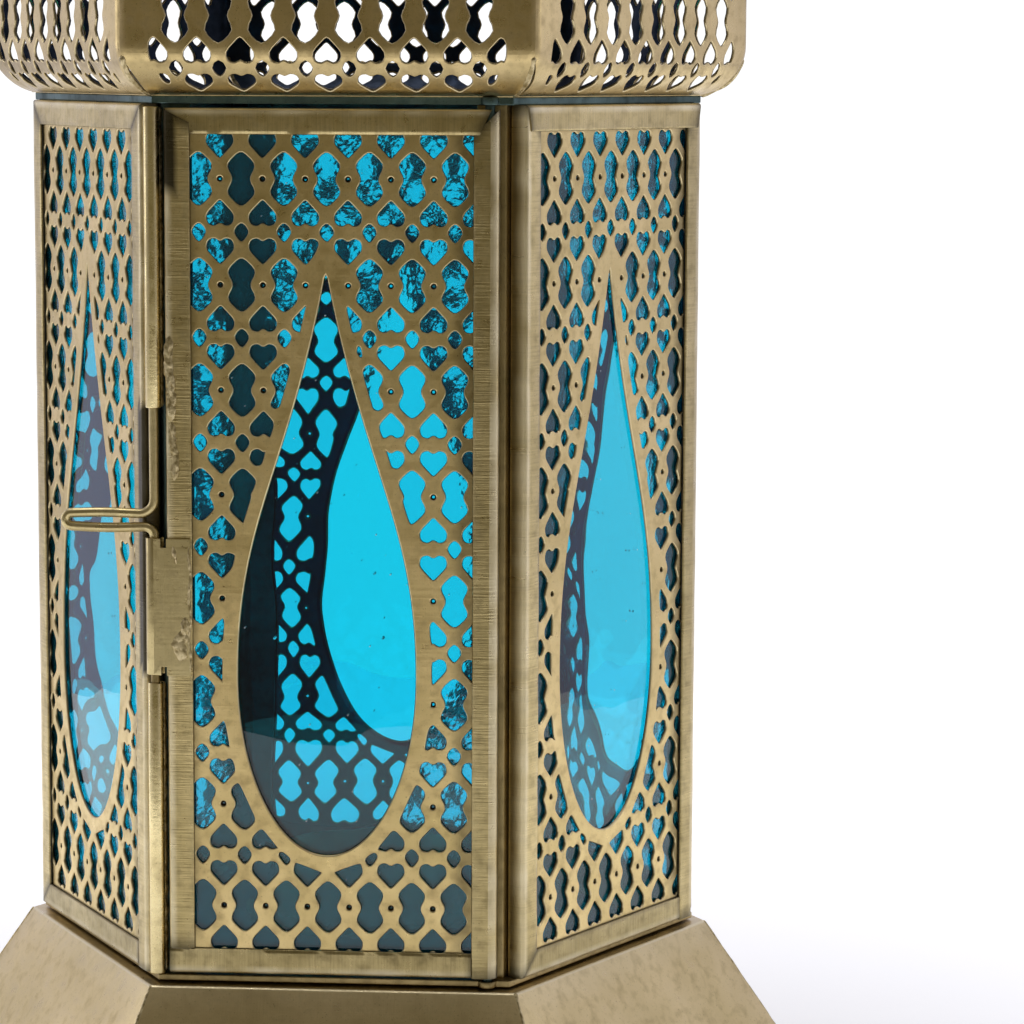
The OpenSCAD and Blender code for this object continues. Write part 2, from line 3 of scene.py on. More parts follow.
import bmesh
import bpy
from mathutils import Matrix, Vector, noise
from mathutils.geometry import delaunay_2d_cdt


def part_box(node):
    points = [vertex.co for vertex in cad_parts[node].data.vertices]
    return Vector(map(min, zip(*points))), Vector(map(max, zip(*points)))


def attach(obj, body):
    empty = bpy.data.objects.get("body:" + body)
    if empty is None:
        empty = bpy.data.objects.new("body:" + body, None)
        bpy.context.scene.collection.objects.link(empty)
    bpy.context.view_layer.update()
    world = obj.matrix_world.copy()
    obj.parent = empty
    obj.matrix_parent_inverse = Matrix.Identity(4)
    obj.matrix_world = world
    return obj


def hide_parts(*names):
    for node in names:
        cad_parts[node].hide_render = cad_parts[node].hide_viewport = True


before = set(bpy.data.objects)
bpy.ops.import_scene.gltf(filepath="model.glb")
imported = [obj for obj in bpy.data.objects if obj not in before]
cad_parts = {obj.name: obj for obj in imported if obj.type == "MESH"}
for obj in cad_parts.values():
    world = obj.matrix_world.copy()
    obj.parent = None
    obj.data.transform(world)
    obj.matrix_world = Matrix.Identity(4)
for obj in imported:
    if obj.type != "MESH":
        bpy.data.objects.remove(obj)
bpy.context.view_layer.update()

# Shapes are worked out in millimetres, in the frame's axes, and made in metres.
MM = 0.001
# A face of a hexagon spans 60 degrees, so half of one is 30
TAN30 = tan(radians(30))
COS30 = cos(radians(30))


def span(node):
    """A CAD node's lowest and highest corners in millimetres."""
    low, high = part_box(node)
    return low / MM, high / MM


# ---------- Sizes, read from the frame ----------

frame_low, frame_high = span("frame_back")
sheet_low, sheet_high = span("sheet_back")
glass_low, glass_high = span("glass_back")
door_low = span("door_sheet")[0]
crown_low, crown_high = span("crown_front")
upper_low, upper_high = span("bolt_tube_upper")
lower_low, lower_high = span("bolt_tube_lower")
core_low, core_high = span("bolt_tube_core")
keeper_low, keeper_high = span("door_keeper")
bolt_low, bolt_high = span("latch_bolt")
skirt_low, skirt_high = span("base_skirt")
hem_low, hem_high = span("base_hem")
collar_low = span("roof_collar")[0]
roof_low = span("roof_front")[0]
hinge_low, hinge_high = span("door_hinge_stile")
bottom_rail_low, bottom_rail_high = span("door_bottom_rail")

FACE = frame_high.y
HALF_W = frame_high.x
FOOT = frame_low.z
FRAME_H = frame_high.z - frame_low.z
CHANNEL_DEPTH = frame_high.y - frame_low.y
RAIL_W = bottom_rail_high.z - bottom_rail_low.z
SHEET_LEFT = -sheet_high.x
SHEET_RIGHT = -sheet_low.x
SHEET_DEPTH = FACE - sheet_high.y
SHEET_T = sheet_high.y - sheet_low.y
SHEET_FOOT = sheet_low.z - FOOT
GLASS_DEPTH = FACE - glass_high.y
GLASS_T = glass_high.y - glass_low.y
DOOR_PROUD = SHEET_DEPTH - door_low.y - FACE
DOOR_TRIM = door_low.z - FOOT - SHEET_FOOT
DOOR_H = hinge_high.z - hinge_low.z
METAL_T = 0.6

FACES = {"right_front": 1, "right_back": 2, "back": 3, "left_back": 4, "left_front": 5}
ALL_FACES = {"front": 0, **FACES}


# ---------- Materials ----------

# Pale brass for worn edges, and for edges painted pale as highlight
PALE_WEAR_AND_HIGHLIGHT = (0.95, 0.83, 0.54, 1)
# Near black for grime, and for shade painted into hole walls, recesses and hidden faces
DARK_GRIME_AND_SHADE = (0.030, 0.026, 0.016, 1)
BLUE = (0.07, 0.78, 0.92, 1)
DEEP_BLUE = (0.06, 0.77, 0.95, 1)
DUST = (0.75, 0.85, 0.90, 1)


def add(tree, kind, sockets=None, **settings):
    """A shader node. sockets maps an input's name or number to a value or to another node's output."""
    node = tree.nodes.new("ShaderNode" + kind)
    for key, value in settings.items():
        setattr(node, key, value)
    for key, value in (sockets or {}).items():
        if isinstance(value, bpy.types.NodeSocket):
            tree.links.new(value, node.inputs[key])
        else:
            node.inputs[key].default_value = value
    return node


def mixed(tree, factor, a, b, blend="MIX"):
    """Colour a where factor is 0 and b where it is 1."""
    node = add(tree, "Mix", {0: factor, 6: a, 7: b}, data_type="RGBA", blend_type=blend)
    return node.outputs[2]


def mapped(tree, value, low, high, to_low=0.0, to_high=1.0):
    """value moved from one range to another, and held inside it."""
    node = add(tree, "MapRange", {0: value, 1: low, 2: high, 3: to_low, 4: to_high})
    return node.outputs[0]


def bump(tree, height, strength, distance, under=None):
    """A normal that follows height, on top of another normal if there is one."""
    sockets = {"Height": height, "Strength": strength, "Distance": distance}
    if under:
        sockets["Normal"] = under
    return add(tree, "Bump", sockets).outputs[0]


def speckle(tree, vector, scale, detail=3.0, stretch=(1, 1, 1)):
    """Noise over the surface. Its coordinates are millimetres, so scale is blotches per millimetre."""
    moved = add(tree, "Mapping", {"Vector": vector, "Scale": stretch}).outputs[0]
    return add(tree, "TexNoise", {"Vector": moved, "Scale": scale, "Detail": detail}).outputs[0]


def shader(name):
    """An empty material with its Principled node."""
    look = bpy.data.materials.new(name)
    look.use_nodes = True
    tree = look.node_tree
    tree.nodes.clear()
    body = add(tree, "BsdfPrincipled")
    add(tree, "OutputMaterial", {"Surface": body.outputs[0]})
    return look, tree, body


def millimetres(tree, flat):
    """The surface's own millimetres: drawn flat along a piece's grain, or in the piece's space."""
    if flat:
        return add(tree, "UVMap", uv_map="grain").outputs[0]
    place = add(tree, "TexCoord").outputs["Object"]
    return add(tree, "Mapping", {"Vector": place, "Scale": (1000, 1000, 1000)}).outputs[0]


def brass(name, pale, middle, dark, rough=0.34, flat=True, striae=0.0, stain=0.35, dents=0.25):
    """Aged brass: cloudy colour, dark stains and specks, fine marks across the grain; pale edges that are
    wear and painted highlight, dark marks that are grime and painted shade.
    """
    look, tree, body = shader(name)
    spot = millimetres(tree, flat)
    clouds = speckle(tree, spot, 0.05, 4)
    patches = speckle(tree, spot, 0.35, 5)
    specks = speckle(tree, spot, 2.6, 3)
    lines = speckle(tree, spot, 1.0, 3, (3.2, 0.10, 0.10))
    long_lines = speckle(tree, spot, 1.0, 2, (0.03, 1.6, 1.6))
    tone = mixed(tree, mapped(tree, clouds, 0.35, 0.68), middle, pale)
    tone = mixed(tree, mapped(tree, patches, 0.50, 0.74, 0, stain), tone, dark)
    tone = mixed(tree, mapped(tree, specks, 0.62, 0.74, 0, 0.55), tone, dark)
    tone = mixed(tree, mapped(tree, lines, 0.42, 0.72, 0, striae), tone, dark)
    worn = add(tree, "Attribute", attribute_name="worn").outputs["Fac"]
    grime = add(tree, "Attribute", attribute_name="grime").outputs["Fac"]
    # Pale where an edge is worn, and where a highlight is painted on it
    tone = mixed(tree, mapped(tree, worn, 0.0, 1.0, 0, 0.9), tone, PALE_WEAR_AND_HIGHLIGHT)
    # Dark where there is grime, and where shade is painted in
    tone = mixed(tree, mapped(tree, grime, 0.05, 0.9, 0, 0.92), tone, DARK_GRIME_AND_SHADE)
    tree.links.new(tone, body.inputs["Base Color"])
    tree.links.new(mapped(tree, worn, 0.3, 1.0, 1.0, 0.55), body.inputs["Metallic"])
    shine = mapped(tree, patches, 0.3, 0.75, rough - 0.07, rough + 0.12)
    tree.links.new(shine, body.inputs["Roughness"])
    relief = bump(tree, clouds, dents, 0.0012)
    relief = bump(tree, long_lines, 0.10, 0.0002, relief)
    relief = bump(tree, lines, 0.12 + striae * 0.4, 0.0003, relief)
    relief = bump(tree, specks, 0.10, 0.0001, relief)
    tree.links.new(relief, body.inputs["Normal"])
    return look


def solder(name):
    """Dull, lumpy solder under a brown film."""
    look, tree, body = shader(name)
    spot = millimetres(tree, False)
    lumps = speckle(tree, spot, 0.9, 5)
    film = mixed(tree, mapped(tree, lumps, 0.38, 0.62), (0.36, 0.28, 0.13, 1), (0.74, 0.62, 0.36, 1))
    tree.links.new(film, body.inputs["Base Color"])
    body.inputs["Metallic"].default_value = 0.9
    tree.links.new(mapped(tree, lumps, 0.3, 0.7, 0.28, 0.5), body.inputs["Roughness"])
    tree.links.new(bump(tree, lumps, 0.4, 0.0004), body.inputs["Normal"])
    return look


def glass(name, rippled):
    """Blue glass: clear with a few seeds, or with the crinkled face of rolled glass."""
    look, tree, body = shader(name)
    spot = millimetres(tree, True)
    body.inputs["IOR"].default_value = 1.5
    body.inputs["Specular IOR Level"].default_value = 0.35
    grains = add(tree, "TexVoronoi", {"Vector": spot, "Scale": 0.28}).outputs[0]
    dust = mapped(tree, grains, 0.035, 0.055, 1, 0)
    tint = mixed(tree, dust, DEEP_BLUE if rippled else BLUE, DUST)
    tree.links.new(tint, body.inputs["Base Color"])
    clear = mapped(tree, dust, 0, 1, 0.94 if rippled else 1.0, 0.3)
    tree.links.new(clear, body.inputs["Transmission Weight"])
    if rippled:
        crinkles = speckle(tree, spot, 0.34, 3)
        creases = add(tree, "TexVoronoi", {"Vector": spot, "Scale": 0.9}, feature="SMOOTH_F1").outputs[0]
        relief = bump(tree, crinkles, 0.45, 0.00013)
        relief = bump(tree, creases, 0.2, 0.00005, relief)
        body.inputs["Roughness"].default_value = 0.06
    else:
        swell = speckle(tree, spot, 0.04, 1)
        seeds = add(tree, "TexVoronoi", {"Vector": spot, "Scale": 0.13}).outputs[0]
        bubble = mapped(tree, seeds, 0.0, 0.035, 1, 0)
        relief = bump(tree, swell, 0.25, 0.001)
        relief = bump(tree, bubble, 0.8, 0.0002, relief)
        body.inputs["Roughness"].default_value = 0.0
    tree.links.new(relief, body.inputs["Normal"])
    return look


# Each brass: its pale, middle and dark colours, and its roughness
# Near black navy for the inside and back faces: painted shade, tinted blue as by the glass
inside_shade_brass = brass("InsideShadeBrass", (0.06, 0.08, 0.12, 1), (0.03, 0.045, 0.08, 1),
                    (0.01, 0.02, 0.03, 1), 0.5)
patina_brass = brass("PatinaBrass", (0.16, 0.24, 0.22, 1), (0.05, 0.08, 0.07, 1),
                     (0.01, 0.02, 0.02, 1), 0.42, False)
sheet_brass = brass("SheetBrass", (0.80, 0.62, 0.29, 1), (0.62, 0.475, 0.20, 1),
                    (0.22, 0.15, 0.06, 1), 0.34)
rail_brass = brass("RailBrass", (0.72, 0.58, 0.28, 1), (0.52, 0.41, 0.18, 1),
                   (0.13, 0.10, 0.04, 1), 0.32, striae=0.26)
crown_brass = brass("GalleryBrass", (0.78, 0.61, 0.30, 1), (0.60, 0.46, 0.21, 1),
                    (0.20, 0.14, 0.06, 1), 0.31)
base_brass = brass("BaseBrass", (0.72, 0.57, 0.29, 1), (0.60, 0.47, 0.22, 1),
                   (0.24, 0.18, 0.08, 1), 0.34, False)
bright_brass = brass("BrightBrass", (0.92, 0.78, 0.42, 1), (0.78, 0.64, 0.32, 1),
                     (0.30, 0.21, 0.09, 1), 0.26, False)
keeper_brass = brass("KeeperBrass", (0.70, 0.58, 0.30, 1), (0.54, 0.44, 0.21, 1),
                     (0.18, 0.13, 0.06, 1), 0.32, False)
# A darker brass, painted as shade, for parts set back in gaps and inside
shaded_brass = brass("ShadedBrass", (0.46, 0.35, 0.16, 1), (0.30, 0.23, 0.10, 1),
                   (0.08, 0.06, 0.03, 1), 0.42, False)
roof_brass = brass("RoofBrass", (0.66, 0.53, 0.27, 1), (0.52, 0.41, 0.19, 1),
                   (0.20, 0.14, 0.06, 1), 0.36, dents=0.4)
solder_metal = solder("Solder")
clear_glass = glass("ClearGlass", False)
rolled_glass = glass("RolledGlass", True)


# ---------- Making pieces ----------

class Shape:
    """Points, faces and what is known at each point, gathered before a mesh is made."""

    def __init__(self):
        self.points = []
        self.faces = []
        self.grain = []
        self.worn = []
        self.grime = []
        self.regions = []
        self.creases = set()

    def add(self, points, faces, grain=None, worn=None, grime=None, region=0):
        first = len(self.points)
        self.points += [Vector(p) for p in points]
        self.faces += [tuple(first + i for i in f) for f in faces]
        self.grain += grain or [(0, 0)] * len(points)
        self.worn += worn or [0.0] * len(points)
        self.grime += grime or [0.0] * len(points)
        self.regions += [region] * len(faces)
        return first

    def band(self, near, far, region=0, hole=False):
        """A wall between two loops of points. hole turns its faces towards the middle."""
        for a, b, c, d in zip(near, near[1:] + near[:1], far[1:] + far[:1], far):
            self.faces.append((a, d, c, b) if hole else (a, b, c, d))
            self.regions.append(region)

    def make(self, name, looks, body="lantern_body", stands_for=(), smooth=40):
        mesh = bpy.data.meshes.new(name)
        mesh.from_pydata([p * MM for p in self.points], [], self.faces)
        mesh.polygons.foreach_set("material_index", self.regions)
        for look in looks:
            mesh.materials.append(look)
        work = bmesh.new()
        work.from_mesh(mesh)
        bmesh.ops.recalc_face_normals(work, faces=work.faces)
        work.to_mesh(mesh)
        work.free()
        corners = [0] * len(mesh.loops)
        mesh.loops.foreach_get("vertex_index", corners)
        flat = mesh.uv_layers.new(name="grain")
        flat.data.foreach_set("uv", [c for i in corners for c in self.grain[i]])
        for title, values in (("worn", self.worn), ("grime", self.grime)):
            mesh.attributes.new(title, "FLOAT", "POINT").data.foreach_set("value", values)
        mesh.shade_smooth()
        mesh.set_sharp_from_angle(angle=radians(smooth))
        for edge in mesh.edges:
            if self.creases and tuple(sorted(edge.vertices)) in self.creases:
                edge.use_edge_sharp = True
        made = bpy.data.objects.new(name, mesh)
        bpy.context.scene.collection.objects.link(made)
        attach(made, body)
        if stands_for:
            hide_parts(*stands_for)
        return made


def wobble(place, size, seed=0.0):
    """Smooth noise between -1 and 1 that changes over about size millimetres."""
    return noise.noise(Vector(place) / size + Vector((seed, seed * 0.7, -seed)))


def rings(shape, loops, caps=True, grain=None, worn=None, grime=None):
    """Joins loops of equally many points into a skin, with flat ends if caps is set, or into a torus."""
    count = len(loops[0])
    steps = len(loops) - 1 if caps else len(loops)
    faces = []
    for j in range(steps):
        a, b = j * count, (j + 1) % len(loops) * count
        for i in range(count):
            n = (i + 1) % count
            faces.append((a + i, a + n, b + n, b + i))
    if caps:
        faces.append(tuple(range(count)))
        faces.append(tuple(range(len(loops) * count - 1, (len(loops) - 1) * count - 1, -1)))
    shape.add([p for loop in loops for p in loop], faces, grain, worn, grime)


def dome(tip, inner, loop, radius):
    """Loops that round off the end of a wire."""
    out = (tip - inner).normalized() * radius
    return [[tip + (p - tip) * sqrt(1 - share * share) + out * share for p in loop]
            for share in (0.5, 0.85)]


def wire(shape, path, radius, sides=14, lumps=0.0, ends=True):
    """Round wire along a path. lumps makes it uneven, as a run of solder is."""
    path = [Vector(p) for p in path]
    count = len(path)
    loops = []
    normal = None
    for i, p in enumerate(path):
        ahead = path[min(i + 1, count - 1)]
        behind = path[max(i - 1, 0)]
        along = (ahead - behind).normalized()
        if normal is None:
            normal = along.orthogonal().normalized()
        normal = (normal - along * normal.dot(along)).normalized()
        side = along.cross(normal)
        r = radius * (1 + lumps * wobble(p, 2.2, 3))
        loops.append([p + (normal * cos(t) + side * sin(t)) * r
                      for t in (tau * s / sides for s in range(sides))])
    if ends:
        loops = (dome(path[0], path[1], loops[0], radius)[::-1] + loops +
                 dome(path[-1], path[-2], loops[-1], radius))
    rings(shape, loops)


def lathe(shape, profile, centre, segments=40):
    """A closed outline of (radius, height) turned about an upright axis through centre."""
    loops = []
    for s in range(segments):
        turn = tau * s / segments
        loops.append([Vector((centre[0] + r * cos(turn), centre[1] + r * sin(turn), z))
                      for r, z in profile])
    rings(shape, loops, caps=False)


def turned(k):
    """The rotation from the front face to face k."""
    return Matrix.Rotation(radians(60 * k), 3, "Z")


def on_face(k, proud=0.0):
    """Places x along face k, depth into the lantern and height above the frames' foot."""
    def place(x, depth, z):
        return turned(k) @ Vector((x, depth - FACE - proud, z + FOOT))

    return place


def arc(centre, radius, start, end, steps):
    """Points on an arc, in degrees."""
    angles = [radians(start + (end - start) * i / steps) for i in range(steps + 1)]
    return [(centre[0] + radius * cos(a), centre[1] + radius * sin(a)) for a in angles]


# ---------- The pattern ----------

PITCH_X = 8.67
PITCH_Y = 21.4
PATTERN_X = -1.0
FIRST_ROW = 15.2
PANEL_ROWS = 8
PANEL_COLUMNS = 7
BORDER = 3.0
HEART_RISE = 6.8
OVAL_RISE = PITCH_Y / 2
CUT_CORNER = 1.3
SHARP = radians(68)
TIP_CUT = 1.5

# Corners anticlockwise as (x, y, how far its rounding starts from the corner)
HOURGLASS = [(0, 6.1, 1.5), (-3.35, 2.9, 1.6), (-1.75, 0, 1.0), (-3.35, -2.9, 1.6),
             (0, -6.1, 1.5), (3.35, -2.9, 1.6), (1.75, 0, 1.0), (3.35, 2.9, 1.6)]
HEART = [(0, -3.0, 0.8), (3.15, 0.35, 1.2), (2.7, 2.45, 1.4), (1.05, 2.95, 0.8), (0, 2.1, 0.6),
         (-1.05, 2.95, 0.8), (-2.7, 2.45, 1.4), (-3.15, 0.35, 1.2)]
SPADE = [(-x, -y, s) for x, y, s in HEART]
OVAL = [(0, -2.55, 1.1), (2.05, 0.1, 1.4), (0, 2.5, 1.4), (-2.05, 0.1, 1.4)]
PIN = [(0.85 * cos(a), 0.85 * sin(a), 0.3) for a in (tau * i / 8 for i in range(8))]


def placed(shape, x, y):
    return [(px + x, py + y, s) for px, py, s in shape]


def kept(corners, at, normal):
    """The part of an outline on the side of a line that the normal points to, or nothing if none is left."""
    out = []
    for i, p in enumerate(corners):
        q = corners[(i + 1) % len(corners)]
        a = (p[0] - at[0]) * normal[0] + (p[1] - at[1]) * normal[1]
        b = (q[0] - at[0]) * normal[0] + (q[1] - at[1]) * normal[1]
        if a >= 0:
            out.append(p)
        if a * b < 0:
            t = a / (a - b)
            out.append((p[0] + (q[0] - p[0]) * t, p[1] + (q[1] - p[1]) * t, CUT_CORNER))
    return out if len(out) > 2 else []


def area(corners):
    doubled = sum(p[0] * q[1] - q[0] * p[1] for p, q in zip(corners, corners[1:] + corners[:1]))
    return abs(doubled) / 2


def middle(corners):
    return sum(p[0] for p in corners) / len(corners), sum(p[1] for p in corners) / len(corners)


def blunt(corners):
    """Cuts the tips off corners that are too sharp to have been etched."""
    out = []
    for i, (x, y, setback) in enumerate(corners):
        p = Vector((x, y))
        before = Vector(corners[i - 1][:2]) - p
        after = Vector(corners[(i + 1) % len(corners)][:2]) - p
        if min(before.length, after.length) > 0.3 and before.angle(after) < SHARP:
            for arm in (before, after):
                tip = p + arm.normalized() * min(TIP_CUT, 0.42 * arm.length)
                out.append((tip.x, tip.y, 0.7))
        else:
            out.append((x, y, setback))
    return out


def rounded(corners, steps=3):
    """A smooth outline from corners with their roundings."""
    corners = blunt(corners)
    out = []
    for i, (x, y, setback) in enumerate(corners):
        p = Vector((x, y))
        before = Vector(corners[i - 1][:2]) - p
        after = Vector(corners[(i + 1) % len(corners)][:2]) - p
        if before.length < 0.08:
            continue
        start = p + before.normalized() * min(setback, 0.45 * before.length)
        end = p + after.normalized() * min(setback, 0.45 * after.length)
        for j in range(steps + 1):
            t = j / steps
            out.append(start * (1 - t) ** 2 + p * 2 * t * (1 - t) + end * t * t)
    return out


def field(columns, rows, x0, y0, both_sides, capped):
    """Every hole of a field of pattern. Hearts stand between the columns and outside the last one."""
    left = x0 - (columns - 1) / 2 * PITCH_X
    out = []
    for i in range(-1 if both_sides else 0, columns):
        for j in range(rows):
            x, y = left + i * PITCH_X, y0 + j * PITCH_Y
            between = x + PITCH_X / 2
            if i >= 0:
                out.append(placed(HOURGLASS, x, y))
                if j < rows - 1 or capped:
                    out.append(placed(OVAL, x, y + OVAL_RISE))
                if j == 0 and capped:
                    out.append(placed(OVAL, x, y - OVAL_RISE))
            if 0 <= i < columns - 1:
                out.append(placed(PIN, between, y))
            out.append(placed(HEART, between, y + HEART_RISE))
            out.append(placed(SPADE, between, y - HEART_RISE))
            if capped and j == 0:
                out.append(placed(HEART, between, y - PITCH_Y + HEART_RISE))
            if capped and j == rows - 1:
                out.append(placed(SPADE, between, y + PITCH_Y - HEART_RISE))
    return out


# The teardrop window
WINDOW_X = -1.2
TEAR_HALF_W = 18.4
TEAR_FOOT = 26.0
TEAR_WAIST = 63.3
TEAR_TIP = 145.7
TIP_HALF_W = 0.5


def bezier(p, t):
    s = 1 - t
    return [s ** 3 * a + 3 * s * s * t * b + 3 * s * t * t * c + t ** 3 * d for a, b, c, d in zip(*p)]


def tear(grown, steps=40):
    """The teardrop's outline, anticlockwise: half an ellipse, then a long curve up each side to the tip.
    grown widens it. The tip rises faster than the sides widen, since it is so narrow."""
    w = TEAR_HALF_W + grown
    tip = TEAR_TIP + 2.2 * grown
    foot = TEAR_FOOT - grown
    side = [(w, TEAR_WAIST), (w, TEAR_WAIST + 32), (8 + 0.7 * grown, TEAR_WAIST + 42),
            (TIP_HALF_W + 0.3 * grown, tip - 1)]
    half = []
    for i in range(steps):
        a = radians(-90 + 90 * i / steps)
        half.append((w * cos(a), TEAR_WAIST + (TEAR_WAIST - foot) * sin(a)))
    half += [tuple(bezier(side, i / steps)) for i in range(steps + 1)]
    half.append((0.0, tip))
    whole = half + [(-x, y) for x, y in half[-2:0:-1]]
    return [(x + WINDOW_X, y) for x, y in whole]


def outward(outline, at):
    """The outline's point nearest to a place, and the direction away from the outline there."""
    i = min(range(len(outline)), key=lambda n: (outline[n][0] - at[0]) ** 2 + (outline[n][1] - at[1]) ** 2)
    a, b = outline[i - 1], outline[(i + 1) % len(outline)]
    length = hypot(b[0] - a[0], b[1] - a[1])
    return outline[i], ((b[1] - a[1]) / length, (a[0] - b[0]) / length)


# Bare metal kept at the sheet's sides, and the areas below which a hole is a pin or is left out
SIDE_MARGIN = 0.7
PIN_AREA = 2.5
LEAST_PIN = 1.5
LEAST_HOLE = 2.9


def panel_holes():
    """The panel's holes, trimmed to the window's border and the sheet's edges."""
    edge = tear(BORDER)
    out = []
    for hole in field(PANEL_COLUMNS, PANEL_ROWS, PATTERN_X, FIRST_ROW, False, False):
        part = kept(hole, (SHEET_RIGHT - SIDE_MARGIN, 0), (-1, 0))
        part = kept(part, (SHEET_LEFT + SIDE_MARGIN, 0), (1, 0))
        if part:
            part = kept(part, *outward(edge, middle(part)))
        pin = area(hole) < PIN_AREA
        smooth = rounded(part, 2 if pin else 3)
        if area(smooth) > (LEAST_PIN if pin else LEAST_HOLE):
            out.append(smooth)
    return out


# ---------- Pierced sheet ----------

def inset(loop, by):
    """An anticlockwise outline moved inwards."""
    out = []
    n = len(loop)
    for i, p in enumerate(loop):
        a = (Vector(p) - Vector(loop[i - 1])).normalized()
        b = (Vector(loop[(i + 1) % n]) - Vector(p)).normalized()
        normal = Vector((-a.y - b.y, a.x + b.x))
        if normal.length < 1e-6:
            normal = Vector((-a.y, a.x))
        normal.normalize()
        reach = by / max(0.65, normal.dot(Vector((-a.y, a.x))))
        out.append(Vector(p) + normal * reach)
    return out


def inside(outline, p):
    """True if p is in an outline."""
    crossed = False
    for a, b in zip(outline, [*outline[1:], outline[0]]):
        if (a[1] > p[1]) != (b[1] > p[1]) and p[0] < (b[0] - a[0]) * (p[1] - a[1]) / (b[1] - a[1]) + a[0]:
            crossed = not crossed
    return crossed


class Cut:
    """A flat sheet with holes: its triangles, and where each hole's outline lies in them."""

    def __init__(self, outline, holes, loose=()):
        flat = []
        edges = []
        loops = []
        for loop in [outline, *holes]:
            first = len(flat)
            flat += [Vector(p) for p in loop]
            edges += [(first + i, first + (i + 1) % len(loop)) for i in range(len(loop))]
            loops.append(range(first, len(flat)))
        flat += [Vector(p) for p in loose]
        points, _, faces, origins, _, _ = delaunay_2d_cdt(flat, edges, [], 1, 1e-6)
        where = {}
        for made, sources in enumerate(origins):
            for source in sources:
                where[source] = made
        self.points = [Vector(p) for p in points]
        self.loops = [[where[i] for i in loop] for loop in loops]
        self.owner = {i: number for number, loop in enumerate(self.loops[1:], 1) for i in loop}
        self.faces = [f for f in faces if not self.in_hole(f)]

    def in_hole(self, face):
        """True if a triangle's corners are all on one hole's outline, and its middle is inside."""
        owners = {self.owner.get(i) for i in face}
        if len(owners) > 1 or None in owners:
            return False
        loop = [self.points[i] for i in self.loops[owners.pop()]]
        return inside(loop, sum((self.points[i] for i in face), Vector((0, 0))) / 3)


# How a hole's rim falls away: inset from the outline, share of the sheet's thickness, painted highlight on
# its top edge, painted shade down its wall
RIM = [(0.08, 0.04, 0.6, 0.0), (0.16, 0.20, 0.5, 0.2), (0.25, 0.60, 0.0, 0.9)]
DIMPLE = [(0.10, 0.05, 0.5, 0.0), (0.25, 0.30, 0.0, 0.9), (0.50, 0.80, 0.0, 1.0)]
DIMPLE_AREA = 2.4
WINDOW_RIM = 1.5


def pierce(shape, cut, place, thickness, grime, rims=()):
    """Gives a cut sheet its two faces and a softened wall round each hole. rims numbers the wide ones."""
    grain = [(p.x, p.y) for p in cut.points]
    front = shape.add([place(x, y, 0) for x, y in grain], cut.faces, grain,
                      grime=[grime(x, y) for x, y in grain])
    back = shape.add([place(x, y, thickness) for x, y in grain], [f[::-1] for f in cut.faces], grain,
                     region=1)
    outer = cut.loops[0]
    shape.band([front + i for i in outer], [back + i for i in outer])
    for number, loop in enumerate(cut.loops[1:]):
        wide = WINDOW_RIM if number in rims else 1.0
        flat = [cut.points[i] for i in loop]
        before = [front + i for i in loop]
        shape.creases |= {tuple(sorted(pair)) for pair in zip(before, before[1:] + before[:1])}
        # Each rim is painted pale at its top edge as highlight, and dark down its wall as shade
        for by, share, worn, darkening in DIMPLE if area(flat) < DIMPLE_AREA else RIM:
            moved = inset(flat, by * wide)
            count = len(moved)
            first = shape.add([place(p.x, p.y, thickness * share) for p in moved], [],
                              [(p.x, p.y) for p in moved], worn=[worn] * count, grime=[darkening] * count)
            after = list(range(first, first + count))
            shape.band(before, after, hole=True)
            before = after
        shape.band(before, [back + i for i in loop], hole=True)


def box_outline(left, foot, right, head):
    return [(left, foot), (right, foot), (right, head), (left, head)]


def panel_edge_darkening(x, z):
    """Darker along the sheet's edges, next to the rails."""
    edge = min(x - SHEET_LEFT, SHEET_RIGHT - x, z, FRAME_H - z) - RAIL_W + 1.2
    return max(0.0, 0.5 - 0.25 * max(0.0, edge))


def sheet_cut(trim, *holes):
    """A panel's sheet, trimmed at its foot and head."""
    return Cut(box_outline(SHEET_LEFT, SHEET_FOOT + trim, SHEET_RIGHT, FRAME_H - SHEET_FOOT - trim), holes)


cuts = [tear(0.25), *panel_holes()]
panel_cut = sheet_cut(0, *cuts)
door_cut = sheet_cut(DOOR_TRIM, *cuts)


def sheet_piece(name, node, cut, k, proud, body):
    at_face = on_face(k, proud)
    made = Shape()
    pierce(made, cut, lambda x, z, depth: at_face(x, SHEET_DEPTH + depth, z), SHEET_T, panel_edge_darkening, {0})
    return made.make(name, [sheet_brass, inside_shade_brass], body, [node])


for title, k in FACES.items():
    sheet_piece("PiercedSheet_" + title, "sheet_" + title, panel_cut, k, 0.0, "lantern_body")
sheet_piece("PiercedSheet_door", "door_sheet", door_cut, 0, DOOR_PROUD, "door")


# ---------- Glass ----------

def pane_piece(name, node, k, proud, trim, body):
    """A pane whose middle is clear behind the window and rolled behind the piercing."""
    at_face = on_face(k, proud)
    made = Shape()
    border = tear(0.9, 24)
    around = sheet_cut(trim, border)
    window = Cut(border, [])
    grain = [(p.x, p.y) for p in around.points]
    firsts = []
    for depth in (GLASS_DEPTH, GLASS_DEPTH + GLASS_T):
        first = made.add([at_face(x, depth, z) for x, z in grain], around.faces, grain, region=1)
        shared = {inner: first + outer for inner, outer in zip(window.loops[0], around.loops[1])}
        made.faces += [tuple(shared[i] for i in f) for f in window.faces]
        made.regions += [0] * len(window.faces)
        firsts.append(first)
    front, back = firsts
    edge = around.loops[0]
    made.band([front + i for i in edge], [back + i for i in edge], 1)
    return made.make(name, [clear_glass, rolled_glass], body, [node])


for title, k in FACES.items():
    pane_piece("Pane_" + title, "glass_" + title, k, 0.0, 0.0, "lantern_body")
pane_piece("Pane_door", "door_glass", 0, DOOR_PROUD, DOOR_TRIM, "door")


# ---------- Folded frames ----------

# Where a channel's profile turns from its outside to its inside
INNER_FROM = 19


